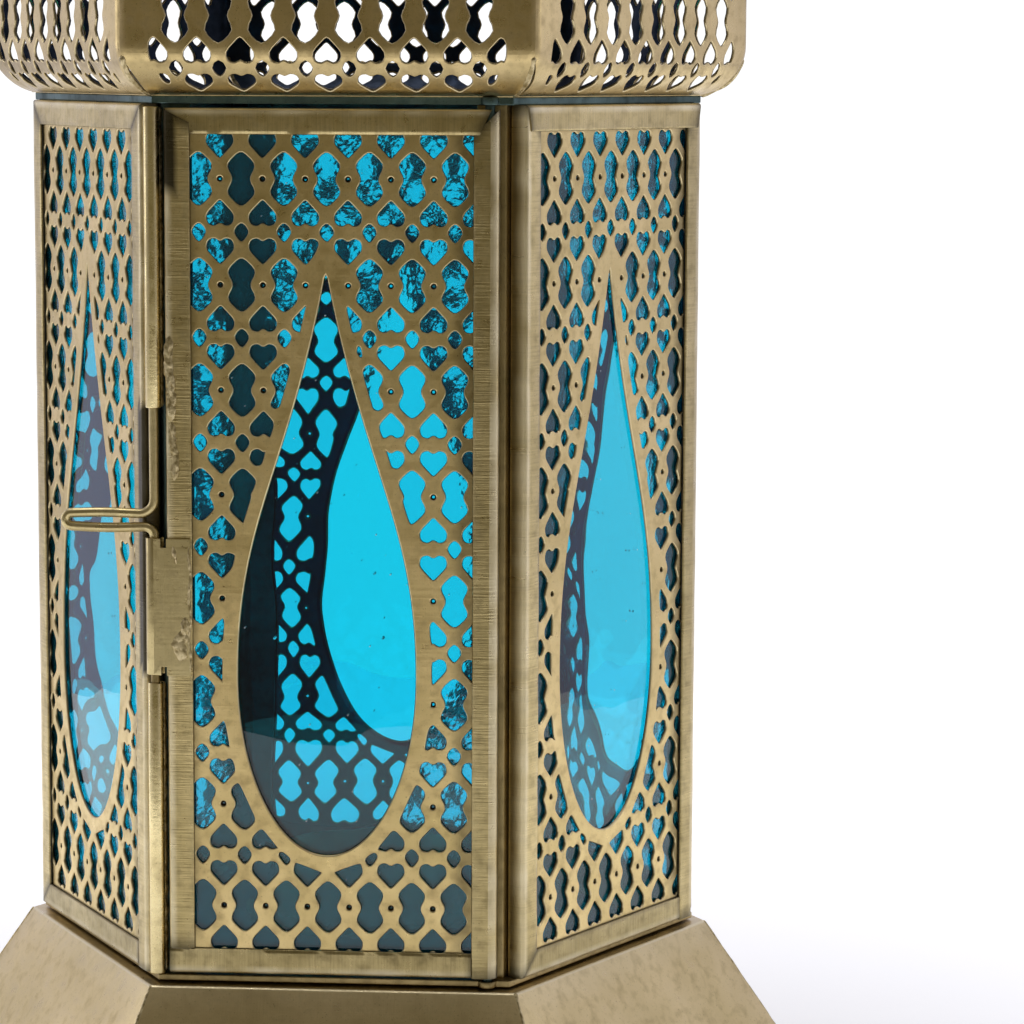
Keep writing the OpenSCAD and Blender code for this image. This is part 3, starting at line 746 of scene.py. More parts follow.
def channel(corner):
    """The folded channel's outline as (across, depth, edge mark), open towards the sheet. A mark above 0 is
    wear and painted highlight; one below 0 is painted shade.
    """
    # The rounded outer corner is painted pale: wear and painted highlight
    soft = [(x, y, 0.8) for x, y in arc((corner, corner), corner, 270, 180, 6)]
    rear = [(x, y, 0.3) for x, y in arc((corner, CHANNEL_DEPTH - corner), corner, 180, 90, 6)]
    inner = METAL_T
    # The lip beside the sheet is painted dark as shade
    lip = [(RAIL_W, 0.42, -0.6), (RAIL_W - 0.03, 0.2, -0.4), (RAIL_W - 0.2, 0.04, 0.1)]
    face = [(RAIL_W - 0.9, 0, 0.05), (RAIL_W * 0.6, -0.02, 0), (RAIL_W * 0.35, -0.02, 0)]
    turn = max(corner, inner)
    hollow = [(RAIL_W, CHANNEL_DEPTH, 0), (RAIL_W, CHANNEL_DEPTH - inner, 0),
              (turn, CHANNEL_DEPTH - inner, 0), (inner, CHANNEL_DEPTH - turn, 0),
              (inner, turn, 0), (turn, inner, 0), (RAIL_W, inner, 0)]
    return lip + face + soft + rear + hollow


def ramp(value):
    """value held between 0 and 1."""
    return max(0.0, min(1.0, value))


def member(shape, profile, start, end, place, seed, steps=60, darkening=0.0, side_shade=0.0, lift=None,
           pocket=None):
    """A length of channel. start and end give where each point of the profile begins and stops along it.
    lift raises the face where one rail laps over another. pocket is a part of its edge that is painted dark."""
    loops = []
    grain = []
    worn = []
    grime = []
    for j in range(steps + 1):
        t = j / steps
        loop = []
        for across, depth, wear_and_shade_mark in profile:
            s = start(across, depth) * (1 - t) + end(across, depth) * t
            wave = 0.07 * wobble((s, across * 0.3, seed), 9, seed)
            wave += 0.03 * wobble((s, across, seed), 2.5, seed)
            raised = wave - (lift(s) if lift else 0.0) if depth < 1.5 else 0.0
            loop.append(place(s, across, depth + raised))
            grain.append((s + seed * 40, across))
            worn.append(ramp(wear_and_shade_mark * (0.75 + 0.9 * wobble((s, across, seed), 6, seed + 2))))
            near = min(s - start(across, depth), end(across, depth) - s)
            patch = 0.8 * max(0.0, 0.55 - near / (9 + 8 * wobble((s, across, seed), 7, seed + 4)))
            # The pocket's edge is painted dark: shadow beside the bolt, grime at the latch stile's head
            dark_pocket = 0.95 if pocket and across < POCKET_W and pocket[0] < s < pocket[1] else 0.0
            # Darker at the rail's ends, in patches and on the front; painted shade on the side faces, the
            # inside and the lip
            grime.append(max(0.75 - near * 0.9, patch, side_shade if depth > 1.5 else darkening, dark_pocket, -wear_and_shade_mark))
        loops.append(loop)
    first = len(shape.faces)
    rings(shape, loops, grain=grain, worn=worn, grime=grime)
    count = len(profile)
    for j in range(steps):
        for i in range(INNER_FROM, count):
            shape.regions[first + j * count + i] = 1


# The gap left in a seam, how far lapped rails rise, and the width of an edge painted dark
SEAM = 0.05
LAP = 0.28
HINGE_LAP = 0.1
POCKET_W = 2.0


def left_stile(shape, h, at, profile, seed):
    member(shape, profile, lambda c, d: c + SEAM, lambda c, d: h - c - SEAM,
           lambda s, c, d: at(c - HALF_W, d, s), seed)


def lapped_stile(shape, h, at, profile, seed):
    """The latch stile. Its head is cut on the slant and lies over the top rail."""
    member(shape, profile, lambda c, d: RAIL_W + SEAM if d < 0.5 else c + SEAM,
           lambda c, d: h - (0.3 + 0.5 * c if d < 1.5 else c + SEAM),
           lambda s, c, d: at(c - HALF_W, d, s), seed, lift=lambda s: LAP * ramp((s - h + 8) / 3),
           pocket=(h - 16, h))


def right_stile(shape, h, at, profile, seed, steps=60, darkening=0.2, pocket=None):
    # Its side faces and inside are painted dark as shade; its front is a little darker too
    member(shape, profile, lambda c, d: 0, lambda c, d: h - c - SEAM,
           lambda s, c, d: at(HALF_W - c, d, s), seed, steps, darkening, 0.7, pocket=pocket)


def bolt_stile(shape, h, at, profile, seed):
    """The right stile of the panel beside the bolt. Its edge is painted dark as shadow where the bolt's wire
    runs free.
    """
    right_stile(shape, h, at, profile, seed, 90, 0.1, (keeper_low.z - FOOT, upper_low.z - FOOT + 1))


def top_rail(shape, h, at, profile, seed):
    member(shape, profile, lambda c, d: c - HALF_W + SEAM, lambda c, d: HALF_W - c - SEAM,
           lambda s, c, d: at(s, d, h - c), seed, 40)


def capping_rail(shape, h, at, profile, seed):
    """A top rail whose ends lie over both stiles."""
    def cut(c, d):
        return 0.3 + 0.2 * c if d < 1.0 else c + SEAM

    member(shape, profile, lambda c, d: cut(c, d) - HALF_W, lambda c, d: HALF_W - cut(c, d),
           lambda s, c, d: at(s, d, h - c), seed, 40,
           lift=lambda s: LAP * ramp((abs(s) - HALF_W + 9) / 4))


def lapped_rail(shape, h, at, profile, seed):
    """The door's top rail. It lies over the hinge stile in front and stops short of the hinge behind."""
    member(shape, profile, lambda c, d: c - HALF_W + SEAM,
           lambda c, d: HALF_W - (1.6 + 0.45 * c if d < 1.0 else CHANNEL_DEPTH / 2 + c),
           lambda s, c, d: at(s, d, h - c), seed, 40,
           lift=lambda s: HINGE_LAP * ramp((s - HALF_W + 9) / 4))


def bottom_rail(shape, h, at, profile, seed, start=lambda c, d: c - HALF_W + SEAM):
    member(shape, profile, start, lambda c, d: HALF_W - RAIL_W - SEAM,
           lambda s, c, d: at(s, d, c), seed, 40, 0.34)


def square_rail(shape, h, at, profile, seed):
    """The door's bottom rail. The latch stile stands on it."""
    bottom_rail(shape, h, at, profile, seed, lambda c, d: 0.03 - HALF_W)


folded = channel(0.8)
rolled = channel(CHANNEL_DEPTH / 2 - 0.02)
for title, k in FACES.items():
    made = Shape()
    at_face = on_face(k)
    head = capping_rail if title in ("right_front", "back") else top_rail
    right = bolt_stile if title == "left_front" else right_stile
    for number, build in enumerate((left_stile, right, head, bottom_rail)):
        build(made, FRAME_H, at_face, folded, k * 4 + number + 1)
    made.make("Frame_" + title, [rail_brass, inside_shade_brass], "lantern_body", ["frame_" + title])

door_at = on_face(0, DOOR_PROUD)
door_gap = hinge_low.z - FOOT


def at_door(x, depth, z):
    return door_at(x, depth, z + door_gap)


for number, (title, node, build, profile) in enumerate((
    ("DoorStile_latch", "door_latch_stile", lapped_stile, folded),
    ("DoorStile_hinge", "door_hinge_stile", right_stile, rolled),
    ("DoorRail_top", "door_top_rail", lapped_rail, folded),
    ("DoorRail_bottom", "door_bottom_rail", square_rail, folded),
)):
    made = Shape()
    build(made, DOOR_H, at_door, profile, 31 + number)
    made.make(title, [rail_brass, inside_shade_brass], "door", [node])


# ---------- Crown ----------

CROWN_A = -crown_low.y
CROWN_Z = crown_low.z
CROWN_TOP = crown_high.z
BEVEL_H = 7.9
BEVEL_IN = 8.2
BAND_RISE = CROWN_TOP - CROWN_Z - 2 * BEVEL_H
# The bevel is one round sweep, which starts on the band and ends leaning this far
BEVEL_ANGLE = radians(75)
BEVEL_R = BEVEL_IN / (1 - cos(BEVEL_ANGLE))
BEVEL_START = BEVEL_R * sin(BEVEL_ANGLE) - BEVEL_H
BEVEL_LENGTH = BEVEL_R * BEVEL_ANGLE - BEVEL_START
# The bend round each corner, how far the flanges reach in, and how wide the open corners gape
BEND_R = 3.4
BEND_CUT = BEND_R * TAN30
BEND_HALF = BEND_R * radians(30)
FLANGE = 6.0
SLIT = 1.4


def crown_section(v):
    """Apothem, height above the lower fold and lean of the crown's sheet, v along it from the lower fold."""
    upper = v > BAND_RISE / 2
    w = BAND_RISE - v if upper else v
    lean = max(0.0, BEVEL_START - w) / BEVEL_R
    a = CROWN_A - BEVEL_R * (1 - cos(lean))
    z = max(w, BEVEL_START) - BEVEL_R * sin(lean)
    return a, (BAND_RISE - z if upper else z), (lean if upper else -lean)


def crown_reach(v):
    """Half the sheet's width at v, measured round the corner bend."""
    return crown_section(v)[0] * TAN30 - BEND_CUT + BEND_HALF


def crown_point(k, u, v, depth):
    a, z, lean = crown_section(v)
    flat = a * TAN30 - BEND_CUT
    turn = max(0.0, abs(u) - flat) / BEND_R
    side = copysign(1.0, u)
    x = min(abs(u), flat) + BEND_R * sin(turn)
    y = a - BEND_R * (1 - cos(turn))
    normal = Vector((side * sin(turn) * cos(lean), -cos(turn) * cos(lean),
                     sin(lean)))
    p = Vector((side * x, -y, CROWN_Z + BEVEL_H + z)) - normal * depth
    return turned(k) @ p


def crown_outline():
    """The developed face. Its left edge is cut back along the bevels, where the corner stays open."""
    low, high = -BEVEL_LENGTH, BAND_RISE + BEVEL_LENGTH
    heights = [low + (high - low) * i / 60 for i in range(61)]

    def slit(v):
        share = (-v if v < 0 else v - BAND_RISE) / BEVEL_LENGTH
        return SLIT * sin(pi * share) if share > 0 else 0.0

    right = [(crown_reach(v), v) for v in heights]
    left = [(-crown_reach(v) + slit(v), v) for v in reversed(heights)]
    return right + left


CROWN_ROWS = 2
CROWN_COLUMNS = 8
CROWN_FIRST_ROW = 8.0
CORNER_GAP = 5.8
CROWN_RIM = 0.9
CROWN_LEAST_HOLE = 2.6


def crown_holes():
    """The crown's holes. The pattern runs over both folds, stops short of the corners and at the rims."""
    out = []
    band_half = CROWN_A * TAN30 - CORNER_GAP
    lean = BEVEL_IN / BEVEL_LENGTH * TAN30
    for hole in field(CROWN_COLUMNS, CROWN_ROWS, 0.0, CROWN_FIRST_ROW, True, True):
        part = kept(hole, (0, CROWN_RIM - BEVEL_LENGTH), (0, 1))
        part = kept(part, (0, BAND_RISE + BEVEL_LENGTH - CROWN_RIM), (0, -1))
        for side in (-1, 1):
            part = kept(part, (side * band_half, 0), (-side, 0))
            part = kept(part, (side * band_half, 0), (-side, lean))
            part = kept(part, (side * band_half, BAND_RISE), (-side, -lean))
        if area(part) > CROWN_LEAST_HOLE:
            out.append(rounded(part, 2))
    return out


def loose_points(cuts):
    """Points in the folds and corner bends, where the sheet is curved, clear of the holes."""
    grown = [(inset(h, -0.35), middle(h)) for h in cuts]
    out = []
    for edge, way in ((0.0, -1), (BAND_RISE, 1)):
        for step in range(14):
            v = edge + way * ((BEVEL_START + BEVEL_LENGTH) * step / 14 - BEVEL_START)
            reach = crown_reach(v) - 0.9
            count = int(reach / 1.4)
            out += [(reach * i / count, v) for i in range(-count, count + 1)]
    for side in (-1, 1):
        for step in range(5):
            for j in range(1, 48):
                v = -BEVEL_LENGTH + (BAND_RISE + 2 * BEVEL_LENGTH) * j / 48
                flat = crown_section(v)[0] * TAN30 - BEND_CUT
                out.append((side * (flat + BEND_HALF * (step / 5)), v + 0.01 * step))
    return [p for p in out if not any(
        (p[0] - c[0]) ** 2 + (p[1] - c[1]) ** 2 < 49 and inside(g, p) for g, c in grown)]


crown_cuts = crown_holes()
crown_cut = Cut(crown_outline(), crown_cuts, loose_points(crown_cuts))


def crown_darkening(u, v):
    # The bevels are painted darker as shade, and the sheet darkens towards its rims
    rim = min(v + BEVEL_LENGTH, BAND_RISE + BEVEL_LENGTH - v)
    bevel_shade = 0.24 if v < -1 or v > BAND_RISE + 1 else 0.0
    return max(bevel_shade, 0.45 - 0.35 * rim)


for title, k in ALL_FACES.items():
    made = Shape()
    pierce(made, crown_cut, lambda u, v, depth: crown_point(k, u, v, depth), SHEET_T, crown_darkening)
    made.make("Gallery_" + title, [crown_brass, inside_shade_brass], "lantern_body", ["crown_" + title], smooth=50)


def hexagon(a, corner, steps=4, between=1):
    """A hexagon of apothem a with rounded corners, as (x, y), anticlockwise, with flat faces to -Y and +Y."""
    out = []
    for k in range(6):
        heading = radians(-60 + 60 * k)
        centre = Vector((cos(heading), sin(heading))) * (a - corner) / COS30
        for i in range(steps + 1):
            t = heading + radians(-30 + 60 * i / steps)
            out.append(centre + Vector((cos(t), sin(t))) * corner)
        onward = radians(60 * k)
        far = Vector((cos(onward), sin(onward))) * (a - corner) / COS30
        t = heading + radians(30)
        far = far + Vector((cos(t), sin(t))) * corner
        near = out[-1]
        out += [near.lerp(far, i / between) for i in range(1, between)]
    return out


def hex_shell(shape, section, corner, between=6, worn=None, sag=0.0):
    """A closed outline of (apothem, height) carried round a hexagon. sag lets the faces wander a little."""
    loops = []
    for a, z in section:
        loop = []
        for p in hexagon(a, min(corner, a * 0.2), between=between):
            drift = sag * wobble((p.x, p.y, z), 30, 5)
            loop.append(Vector((p.x * (1 + drift / a), p.y * (1 + drift / a), z)))
        loops.append(loop)
    count = len(loops[0])
    marks = [w for w in (worn or [0.0] * len(section)) for _ in range(count)]
    rings(shape, loops, caps=False, worn=marks)


# Flanges that carry the crown on the head ring and the roof on the crown
foot_a = CROWN_A - BEVEL_IN
for title, z in (("foot", CROWN_Z), ("top", CROWN_TOP - SHEET_T)):
    made = Shape()
    hex_shell(made, [(foot_a - FLANGE, z), (foot_a + 0.1, z), (foot_a + 0.35, z + SHEET_T / 2),
                     (foot_a + 0.1, z + SHEET_T), (foot_a - FLANGE, z + SHEET_T)], 1.0)
    made.make("GalleryFlange_" + title, [base_brass])

# Solder runs down the crown's corners, on both bevels of all but one
made = Shape()
for k in range(6):
    if k != 4:
        for edge, way in ((0, -1), (BAND_RISE, 1)):
            path = []
            for i in range(13):
                v = edge + way * (0.6 + (BEVEL_LENGTH - 0.8) * i / 12)
                p = crown_point(k, crown_reach(v), v, 0.25)
                path.append(p + Vector((0, 0, 0.2 * wobble(p, 3, 1))))
            wire(made, path, 0.62, 10, lumps=0.5)
made.make("GallerySolder", [solder_metal])


# ---------- Roof ----------

VENT_R = 1.6
# Each row of vents: how far up the roof, how many, and their pitch
ROOF_ROWS = ((0.16, 5, 9), (0.30, 4, 9), (0.44, 3, 8.5), (0.58, 2, 8))
roof_z, roof_top, roof_foot = roof_low.z, collar_low.z, -roof_low.y
# The roof's curve as (apothem, height): it swells above its foot and draws in to a neck
OGEE = ((roof_foot, roof_z), (58, roof_z + 27), (23, roof_z + 26), (9, roof_top))
ogee_path = [Vector(bezier(OGEE, i / 72)) for i in range(73)]
ogee_lengths = [0.0]
for a, b in zip(ogee_path, ogee_path[1:]):
    ogee_lengths.append(ogee_lengths[-1] + (b - a).length)
ROOF_LENGTH = ogee_lengths[-1]


def roof_section(v):
    """Where the roof's curve is, v along it from its foot, as (apothem, z), and the way it runs there."""
    i = max(n for n in range(len(ogee_path) - 1) if ogee_lengths[n] <= max(v, 0.0))
    a, b = ogee_path[i], ogee_path[i + 1]
    share = (v - ogee_lengths[i]) / (ogee_lengths[i + 1] - ogee_lengths[i])
    return a.lerp(b, min(share, 1.0)), (b - a).normalized()


def roof_reach(v):
    return roof_section(v)[0].x * TAN30


def roof_point(k, u, v, depth):
    at, run = roof_section(v)
    dent = 0.35 * wobble((u, v, k * 50), 14, 2) * max(0.0, 1 - abs(u) / roof_reach(v)) * min(1.0, v / 8)
    sunk = depth + dent
    p = Vector((u, -(at.x - run.y * sunk), at.y + run.x * sunk))
    return turned(k) @ p


def roof_cut():
    """The roof's developed face, with its rows of round vents."""
    vents = []
    for share, count, pitch in ROOF_ROWS:
        v = ogee_lengths[round(share * (len(ogee_path) - 1))]
        for i in range(count):
            x = (i - (count - 1) / 2) * pitch
            vents.append([(x + VENT_R * cos(t), v + VENT_R * sin(t))
                          for t in (tau * n / 20 for n in range(20))])
    rows = [ROOF_LENGTH * i / 48 for i in range(49)]
    outline = [(roof_reach(v), v) for v in rows] + [(-roof_reach(v), v) for v in reversed(rows)]
    loose = []
    for v in rows[1:-1]:
        count = max(2, round(roof_reach(v) / 2.5))
        loose += [(roof_reach(v) * i / count, v + 0.01 * (i % 2)) for i in range(1 - count, count)]
    centres = [middle(vent) for vent in vents]
    loose = [q for q in loose
             if all((q[0] - c[0]) ** 2 + (q[1] - c[1]) ** 2 > (VENT_R + 0.5) ** 2 for c in centres)]
    return Cut(outline, vents, loose)


roof_sheet = roof_cut()
for title, k in ALL_FACES.items():
    made = Shape()
    pierce(made, roof_sheet, lambda u, v, depth: roof_point(k, u, v, depth), SHEET_T,
           lambda u, v: max(0.0, 0.4 - 0.3 * min(v, roof_reach(v) - abs(u))))
    made.make("Roof_" + title, [roof_brass, inside_shade_brass], "lantern_body", ["roof_" + title], smooth=50)

made = Shape()
for k in range(6):
    along = [0.6 + (ROOF_LENGTH - 1.6) * i / 60 for i in range(61)]
    path = [roof_point(k, roof_reach(v), v, 0.35) for v in along]
    wire(made, path, 0.55, 10, lumps=0.4)
made.make("RoofSolder", [solder_metal])


# ---------- Base ----------

# The base's sheet, the bend at the skirt's top, and the flange that turns in there
BAND_T = 0.8
SKIRT_TOP_R = 1.5
FLANGE_A = 44.0
# Apothems of the skirt's foot and of its top edge
skirt_foot_a = -skirt_low.y
skirt_top_a = 66.2
skirt_z0, skirt_z1 = skirt_low.z, skirt_high.z
skirt_lean = atan2(skirt_foot_a - skirt_top_a, skirt_z1 - skirt_z0)


def fillet(a, b, c, radius, steps=6):
    """Points that round corner b of a path a, b, c."""
    a, b, c = Vector(a), Vector(b), Vector(c)
    u, v = (a - b).normalized(), (c - b).normalized()
    half = u.angle(v) / 2
    cut = radius / tan(half)
    centre = b + (u + v).normalized() * radius / sin(half)
    first = b + u * cut - centre
    last = b + v * cut - centre
    out = []
    for i in range(steps + 1):
        t = i / steps
        out.append(tuple(centre + first.slerp(last, t)))
    return out


outer_foot = (skirt_foot_a, skirt_z0)
outer_top = (skirt_top_a, skirt_z1)
inner_end = (FLANGE_A, skirt_z1)
bend = fillet(outer_foot, outer_top, inner_end, SKIRT_TOP_R)
inner_z = skirt_z1 - BAND_T
slope = (skirt_foot_a - skirt_top_a) / (skirt_z1 - skirt_z0)
level = BAND_T / cos(skirt_lean)
inner_bend = (skirt_top_a - level + BAND_T * slope, inner_z)


def up_skirt(share):
    """A place part of the way up the skirt's outside, as (apothem, height)."""
    return skirt_foot_a + (bend[0][0] - skirt_foot_a) * share, skirt_z0 + (bend[0][1] - skirt_z0) * share


outer_side = [up_skirt(i / 6) for i in range(6)]
section = outer_side + bend + [inner_end, (FLANGE_A, inner_z), inner_bend, (skirt_foot_a - level, skirt_z0)]
# The rounded top edge is painted pale: wear and painted highlight
worn = [0.0] * len(outer_side) + [0.2, 0.6, 0.9, 1.0, 0.9, 0.5, 0.2] + [0.0] * 4
made = Shape()
hex_shell(made, section, 1.1, 8, worn, 0.25)
made.make("BaseSkirt", [base_brass], stands_for=["base_skirt"])

# Band and the folded hem that it ends in
band_z0, band_z1 = hem_high.z, skirt_z0
made = Shape()
hex_shell(made, [(skirt_foot_a, band_z0), (skirt_foot_a, band_z1 - 0.3), (skirt_foot_a - 0.1, band_z1 - 0.05),
                 (skirt_foot_a - BAND_T, band_z1 - 0.05), (skirt_foot_a - BAND_T, band_z0)], 1.1, 8, sag=0.2)
made.make("BaseBand", [base_brass], stands_for=["base_band"])
HEM_R = 1.2
hem_a = -hem_low.y
hem_mid = hem_high.z / 2
turns = [tau * i / 16 for i in range(16)]
hem = [(hem_a - HEM_R + HEM_R * cos(t), hem_mid + hem_mid * sin(t)) for t in turns]
made = Shape()
# The hem's outer roll is painted pale: wear and painted highlight
hex_shell(made, hem, 1.6, 8, [0.5 + 0.5 * cos(t) for t in turns])
made.make("BaseHem", [base_brass], stands_for=["base_hem"])

# Solder down the skirt's corners
made = Shape()
for k in range(6):
    heading = radians(60 * k)
    path = []
    for i in range(19):
        a, z = up_skirt(i / 18)
        corner = (a - 0.42) / COS30
        path.append(Vector((cos(heading) * corner, sin(heading) * corner, z)))
    wire(made, path, 0.45, 10, lumps=0.3)
made.make("SkirtSolder", [solder_metal])


# ---------- Latch ----------

# The bolt's upright axis, which is the tubes' too, to a hundredth of a millimetre
axis_x, axis_y = (round((core_low[i] + core_high[i]) / 2, 2) for i in (0, 1))
TUBE_R = 1.6
BORE_R = 1.06


def tube_piece(name, node, low, high):
    """A guide tube with softened ends, soldered to the corner post by a run down its back."""
    made = Shape()
    lip = 0.22
    z0, z1 = low.z, high.z
    profile = ([(BORE_R, z0 + lip), (BORE_R + 0.15, z0), (TUBE_R - lip, z0)] +
               arc((TUBE_R - lip, z0 + lip), lip, -90, 0, 3) +
               arc((TUBE_R - lip, z1 - lip), lip, 0, 90, 3) +
               [(BORE_R + 0.15, z1), (BORE_R, z1 - lip)])
    lathe(made, profile, (axis_x, axis_y), 28)
    made.make(name, [bright_brass], "lantern_body", [node])
    seam = Shape()
    inward = Vector((-axis_x, -axis_y, 0)).normalized()
    root = Vector((axis_x, axis_y, 0)) + inward * (TUBE_R + 0.55)
    path = [root + Vector((0, 0, z0 + 0.8 + (z1 - z0 - 1.6) * i / 40)) for i in range(41)]
    wire(seam, path, 0.85, 10, lumps=0.4)
    seam.make(name + "Solder", [solder_metal])


tube_piece("BoltTube_upper", "bolt_tube_upper", upper_low, upper_high)
tube_piece("BoltTube_lower", "bolt_tube_lower", lower_low, lower_high)

# The core in the tubes takes the darker brass painted as shade
made = Shape()
core_h = core_high.z - core_low.z
wire(made, [Vector((axis_x, axis_y, core_low.z + core_h * i / 6)) for i in range(7)], 0.98, 14, 0.06)
made.make("TubeCore", [shaded_brass], "lantern_body", ["bolt_tube_core"])

# The bolt: one wire with a hairpin handle
BOLT_R = 1.0
ARM_GAP = 2.7
LOWER_BEND = 2.0
UPPER_BEND = 3.0
lower_arm = keeper_high.z + 2.2
upper_arm = lower_arm + ARM_GAP
handle_x = bolt_low.x + BOLT_R + ARM_GAP / 2


def quarter(cx, cz, r, start, end, steps=8):
    return [Vector((x, axis_y, z)) for x, z in arc((cx, cz), r, start, end, steps)]


path = [Vector((axis_x, axis_y, bolt_low.z + i * (lower_arm - LOWER_BEND - bolt_low.z) / 6))
        for i in range(6)]
path += quarter(axis_x - LOWER_BEND, lower_arm - LOWER_BEND, LOWER_BEND, 0, 90)
span_x = axis_x - LOWER_BEND - handle_x
path += [Vector((axis_x - LOWER_BEND - span_x * i / 8, axis_y, lower_arm - 0.25 * sin(pi * i / 8)))
         for i in range(1, 8)]
path += quarter(handle_x, lower_arm + ARM_GAP / 2, ARM_GAP / 2, 270, 90, 14)
span_x = axis_x - UPPER_BEND - handle_x
path += [Vector((handle_x + span_x * i / 8, axis_y, upper_arm + 0.2 * sin(pi * i / 8)))
         for i in range(1, 8)]
path += quarter(axis_x - UPPER_BEND, upper_arm + UPPER_BEND, UPPER_BEND, 270, 360)
path += [Vector((axis_x, axis_y, upper_arm + UPPER_BEND + i * (bolt_high.z - upper_arm - UPPER_BEND) / 12))
         for i in range(1, 13)]
made = Shape()
wire(made, path, BOLT_R, 16, 0.03, ends=False)
made.make("LatchBolt", [keeper_brass], "bolt", ["latch_bolt"])


def smear(shape, path, half_w, rise, place, seed):
    """A flat run of solder along (x, z) on a face, lumpy and ragged at its edges."""
    loops = []
    for i, (x, z) in enumerate(path):
        taper = sin(pi * min(1.0, (i + 0.3) / 3, (len(path) - 0.7 - i) / 3) / 2)
        loop = []
        for t in (tau * n / 18 for n in range(18)):
            ragged = 1 + 0.55 * wobble((cos(t), sin(t), z), 0.9, seed)
            lumpy = 1 + 1.2 * wobble((cos(t) * 2, z, x), 0.7, seed)
            depth = -rise * taper * sin(t) * lumpy if sin(t) > 0.01 else 0.1
            loop.append(place(x + half_w * taper * cos(t) * ragged, depth, z))
        loops.append(loop)
    rings(shape, loops)


# Solder squeezed out beside the bolt, and over the keeper's strap
STRAP_T = 0.6
keeper_foot, keeper_head = keeper_low.z - FOOT, keeper_high.z - FOOT
door_face = on_face(0, DOOR_PROUD)
strap_face = on_face(0, DOOR_PROUD + STRAP_T)
# Each run: x from the door's edge, how far it drifts sideways (None: it slants) and over how many steps,
# height, step, points, half width, rise and the face it lies on
RUNS = (
    (1.0, 0.3, 4, keeper_head + 24, 0.7, 26, 0.95, 0.35, door_face),
    (1.7, 0.4, 3, keeper_head + 12, 0.7, 18, 0.8, 0.3, door_face),
    (2.9, 0.3, 1, keeper_foot + 3, 0.7, 10, 1.5, 0.32, strap_face),
    (3.8, 0.0, 1, keeper_foot + 8, 0.6, 8, 0.9, 0.3, strap_face),
    (1.4, None, 1, keeper_head - 1.5, -0.6, 7, 0.45, 0.25, strap_face),
    (RAIL_W - 0.5, 0.2, 2, keeper_foot + 0.8, 0.7, 38, 0.3, 0.12, strap_face),
)
made = Shape()
for seed, (x, drift, wander, z, step, count, half_w, rise, face) in enumerate(RUNS, 1):
    path = [(x - HALF_W + (0.12 * i if drift is None else drift * sin(i / wander)), z + step * i)
            for i in range(count)]
    smear(made, path, half_w, rise, face, seed)
made.make("KeeperSolder", [solder_metal], "door")


def cad_look(name):
    """The brass of a CAD piece that is shown as it is."""
    # The sill, the hinge-side post and the candle cup take the darker brass painted as shade
    if name in ("post_front_right", "candle_cup", "base_sill"):
        return shaded_brass
    if name.startswith("post_") or name == "body_head" or "pivot" in name:
        return patina_brass
    # The floor pan takes the inside's painted shade
    return {"floor_pan": inside_shade_brass, "door_keeper": keeper_brass}.get(name, bright_brass)


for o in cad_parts.values():
    if o.hide_render:
        continue
    weld = o.modifiers.new("Weld", "WELD")
    weld.merge_threshold = 0.00001
    soft = o.modifiers.new("Bevel", "BEVEL")
    soft.width = 0.00025
    soft.segments = 2
    soft.limit_method = "ANGLE"
    soft.angle_limit = radians(35)
    o.data.materials.clear()
    o.data.materials.append(cad_look(o.name))


# ---------- Stage ----------

CAMERA_AT = (0.08353, -0.76804, 0.23717)
CAMERA_TURN = (82.737, -0.252, 3.839)
CAMERA_LENS = 123.127

camera = bpy.data.objects.new("Camera", bpy.data.cameras.new("Camera"))
bpy.context.scene.collection.objects.link(camera)
camera.location = CAMERA_AT
camera.rotation_euler = [radians(a) for a in CAMERA_TURN]
camera.data.lens = CAMERA_LENS
camera.data.sensor_width = 36.0
camera.data.clip_start = 0.01
camera.data.clip_end = 100.0
bpy.context.scene.camera = camera
bpy.context.scene.view_settings.view_transform = "Standard"


FLOOR_R = 0.6


def floor_look():
    """Pale matt paper that glows, more towards its edge, so that it fades into the white backdrop."""
    look, tree, body = shader("PaleFloor")
    body.inputs["Base Color"].default_value = (0.9, 0.9, 0.9, 1)
    body.inputs["Roughness"].default_value = 0.9
    body.inputs["Emission Color"].default_value = (1, 1, 1, 1)
    place = add(tree, "TexCoord").outputs["Object"]
    away = add(tree, "VectorMath", {0: place}, operation="LENGTH").outputs["Value"]
    # Painted light: the floor's glow grows away from the middle
    tree.links.new(mapped(tree, away, 0.12, FLOOR_R * 0.7, 0.12, 0.55), body.inputs["Emission Strength"])
    return look


floor_mesh = bpy.data.meshes.new("Floor")
rim = [(x, y, 0) for x, y in arc((0, 0), FLOOR_R, 0, 360 * 95 / 96, 95)]
floor_mesh.from_pydata(rim, [], [tuple(range(96))])
floor_mesh.materials.append(floor_look())
floor = bpy.data.objects.new("Floor", floor_mesh)
bpy.context.scene.collection.objects.link(floor)


LIT = Vector((0, 0, 0.18))


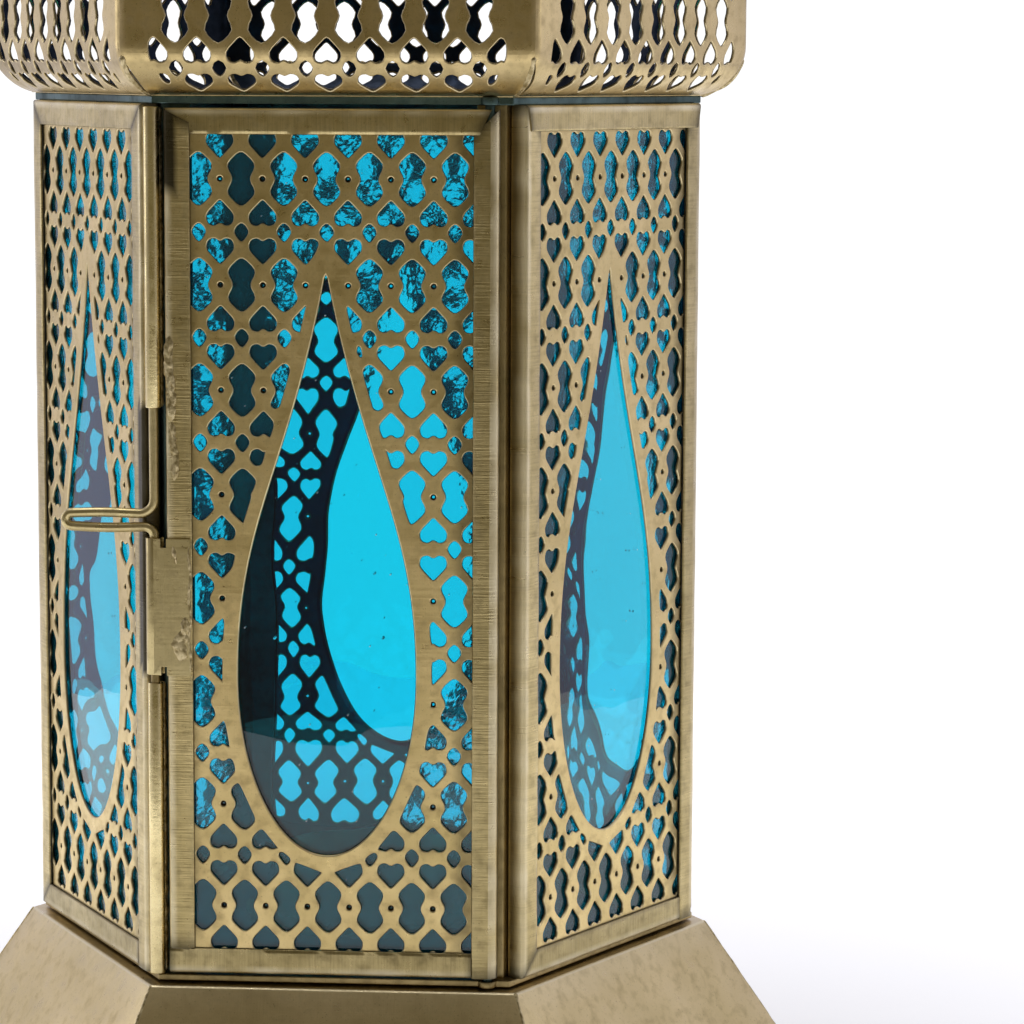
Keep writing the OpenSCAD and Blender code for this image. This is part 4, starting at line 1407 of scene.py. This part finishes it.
def lamp(name, at, size, power):
    """A soft lamp that faces the lantern."""
    light = bpy.data.lights.new(name, "AREA")
    light.shape = "RECTANGLE"
    light.size, light.size_y = size
    light.energy = power
    o = bpy.data.objects.new(name, light)
    bpy.context.scene.collection.objects.link(o)
    o.location = at
    o.rotation_euler = (LIT - Vector(at)).to_track_quat("-Z", "Y").to_euler()
    o.visible_camera = False


lamp("TopLight", (0, 0.25, 1.6), (1.2, 1.2), 13)
lamp("LeftLight", (-1.3, 0.25, 0.5), (0.5, 1.0), 2)
lamp("RightLight", (1.3, 0.15, 0.5), (0.5, 1.0), 0.8)

world = bpy.data.worlds.new("Studio")
bpy.context.scene.world = world
world.use_nodes = True
tree = world.node_tree
tree.nodes.clear()


def maths(a, operation, b=0.0):
    return add(tree, "Math", {0: a, 1: b}, operation=operation).outputs[0]


# The room: dark in front, pale behind and beside, greyer overhead
FRONT = (0.152, 0.132, 0.082, 1)
BEHIND = (0.67, 0.67, 0.83, 1)
OVERHEAD = (0.2, 0.2, 0.25, 1)
heading = add(tree, "SeparateXYZ", {0: add(tree, "TexCoord").outputs["Generated"]}).outputs
behind = mapped(tree, heading[1], -0.35, 0.35)
beside = mapped(tree, maths(heading[0], "ABSOLUTE"), 0.55, 0.95, 0, 0.38)
room = mixed(tree, maths(behind, "MAXIMUM", beside), FRONT, BEHIND)
room = mixed(tree, mapped(tree, heading[2], 0.15, 0.75, 0, 0.35), room, OVERHEAD)

# Rays straight from the camera, or straight through glass, see a white backdrop. Rays that have bounced see
# the room, and those that passed glass and bounced see a dark navy: a lighting trick, to match the dark blue
# inside. The materials don't read it.
NAVY = (0.035, 0.065, 0.14, 1)
BACKDROP = (1.08, 1.08, 1.08, 1)
ray = add(tree, "LightPath").outputs
bounces = maths(ray["Ray Depth"], "SUBTRACT", ray["Transmission Depth"])
through = maths(maths(bounces, "LESS_THAN", 1.5), "MULTIPLY", ray["Is Transmission Ray"])
straight = maths(through, "MAXIMUM", ray["Is Camera Ray"])
passed_glass = maths(ray["Transmission Depth"], "GREATER_THAN", 0.5)
room = mixed(tree, passed_glass, room, NAVY)
shown = mixed(tree, straight, room, BACKDROP)
back = add(tree, "Background", {"Color": shown, "Strength": 1.0})
add(tree, "OutputWorld", {0: back.outputs[0]})
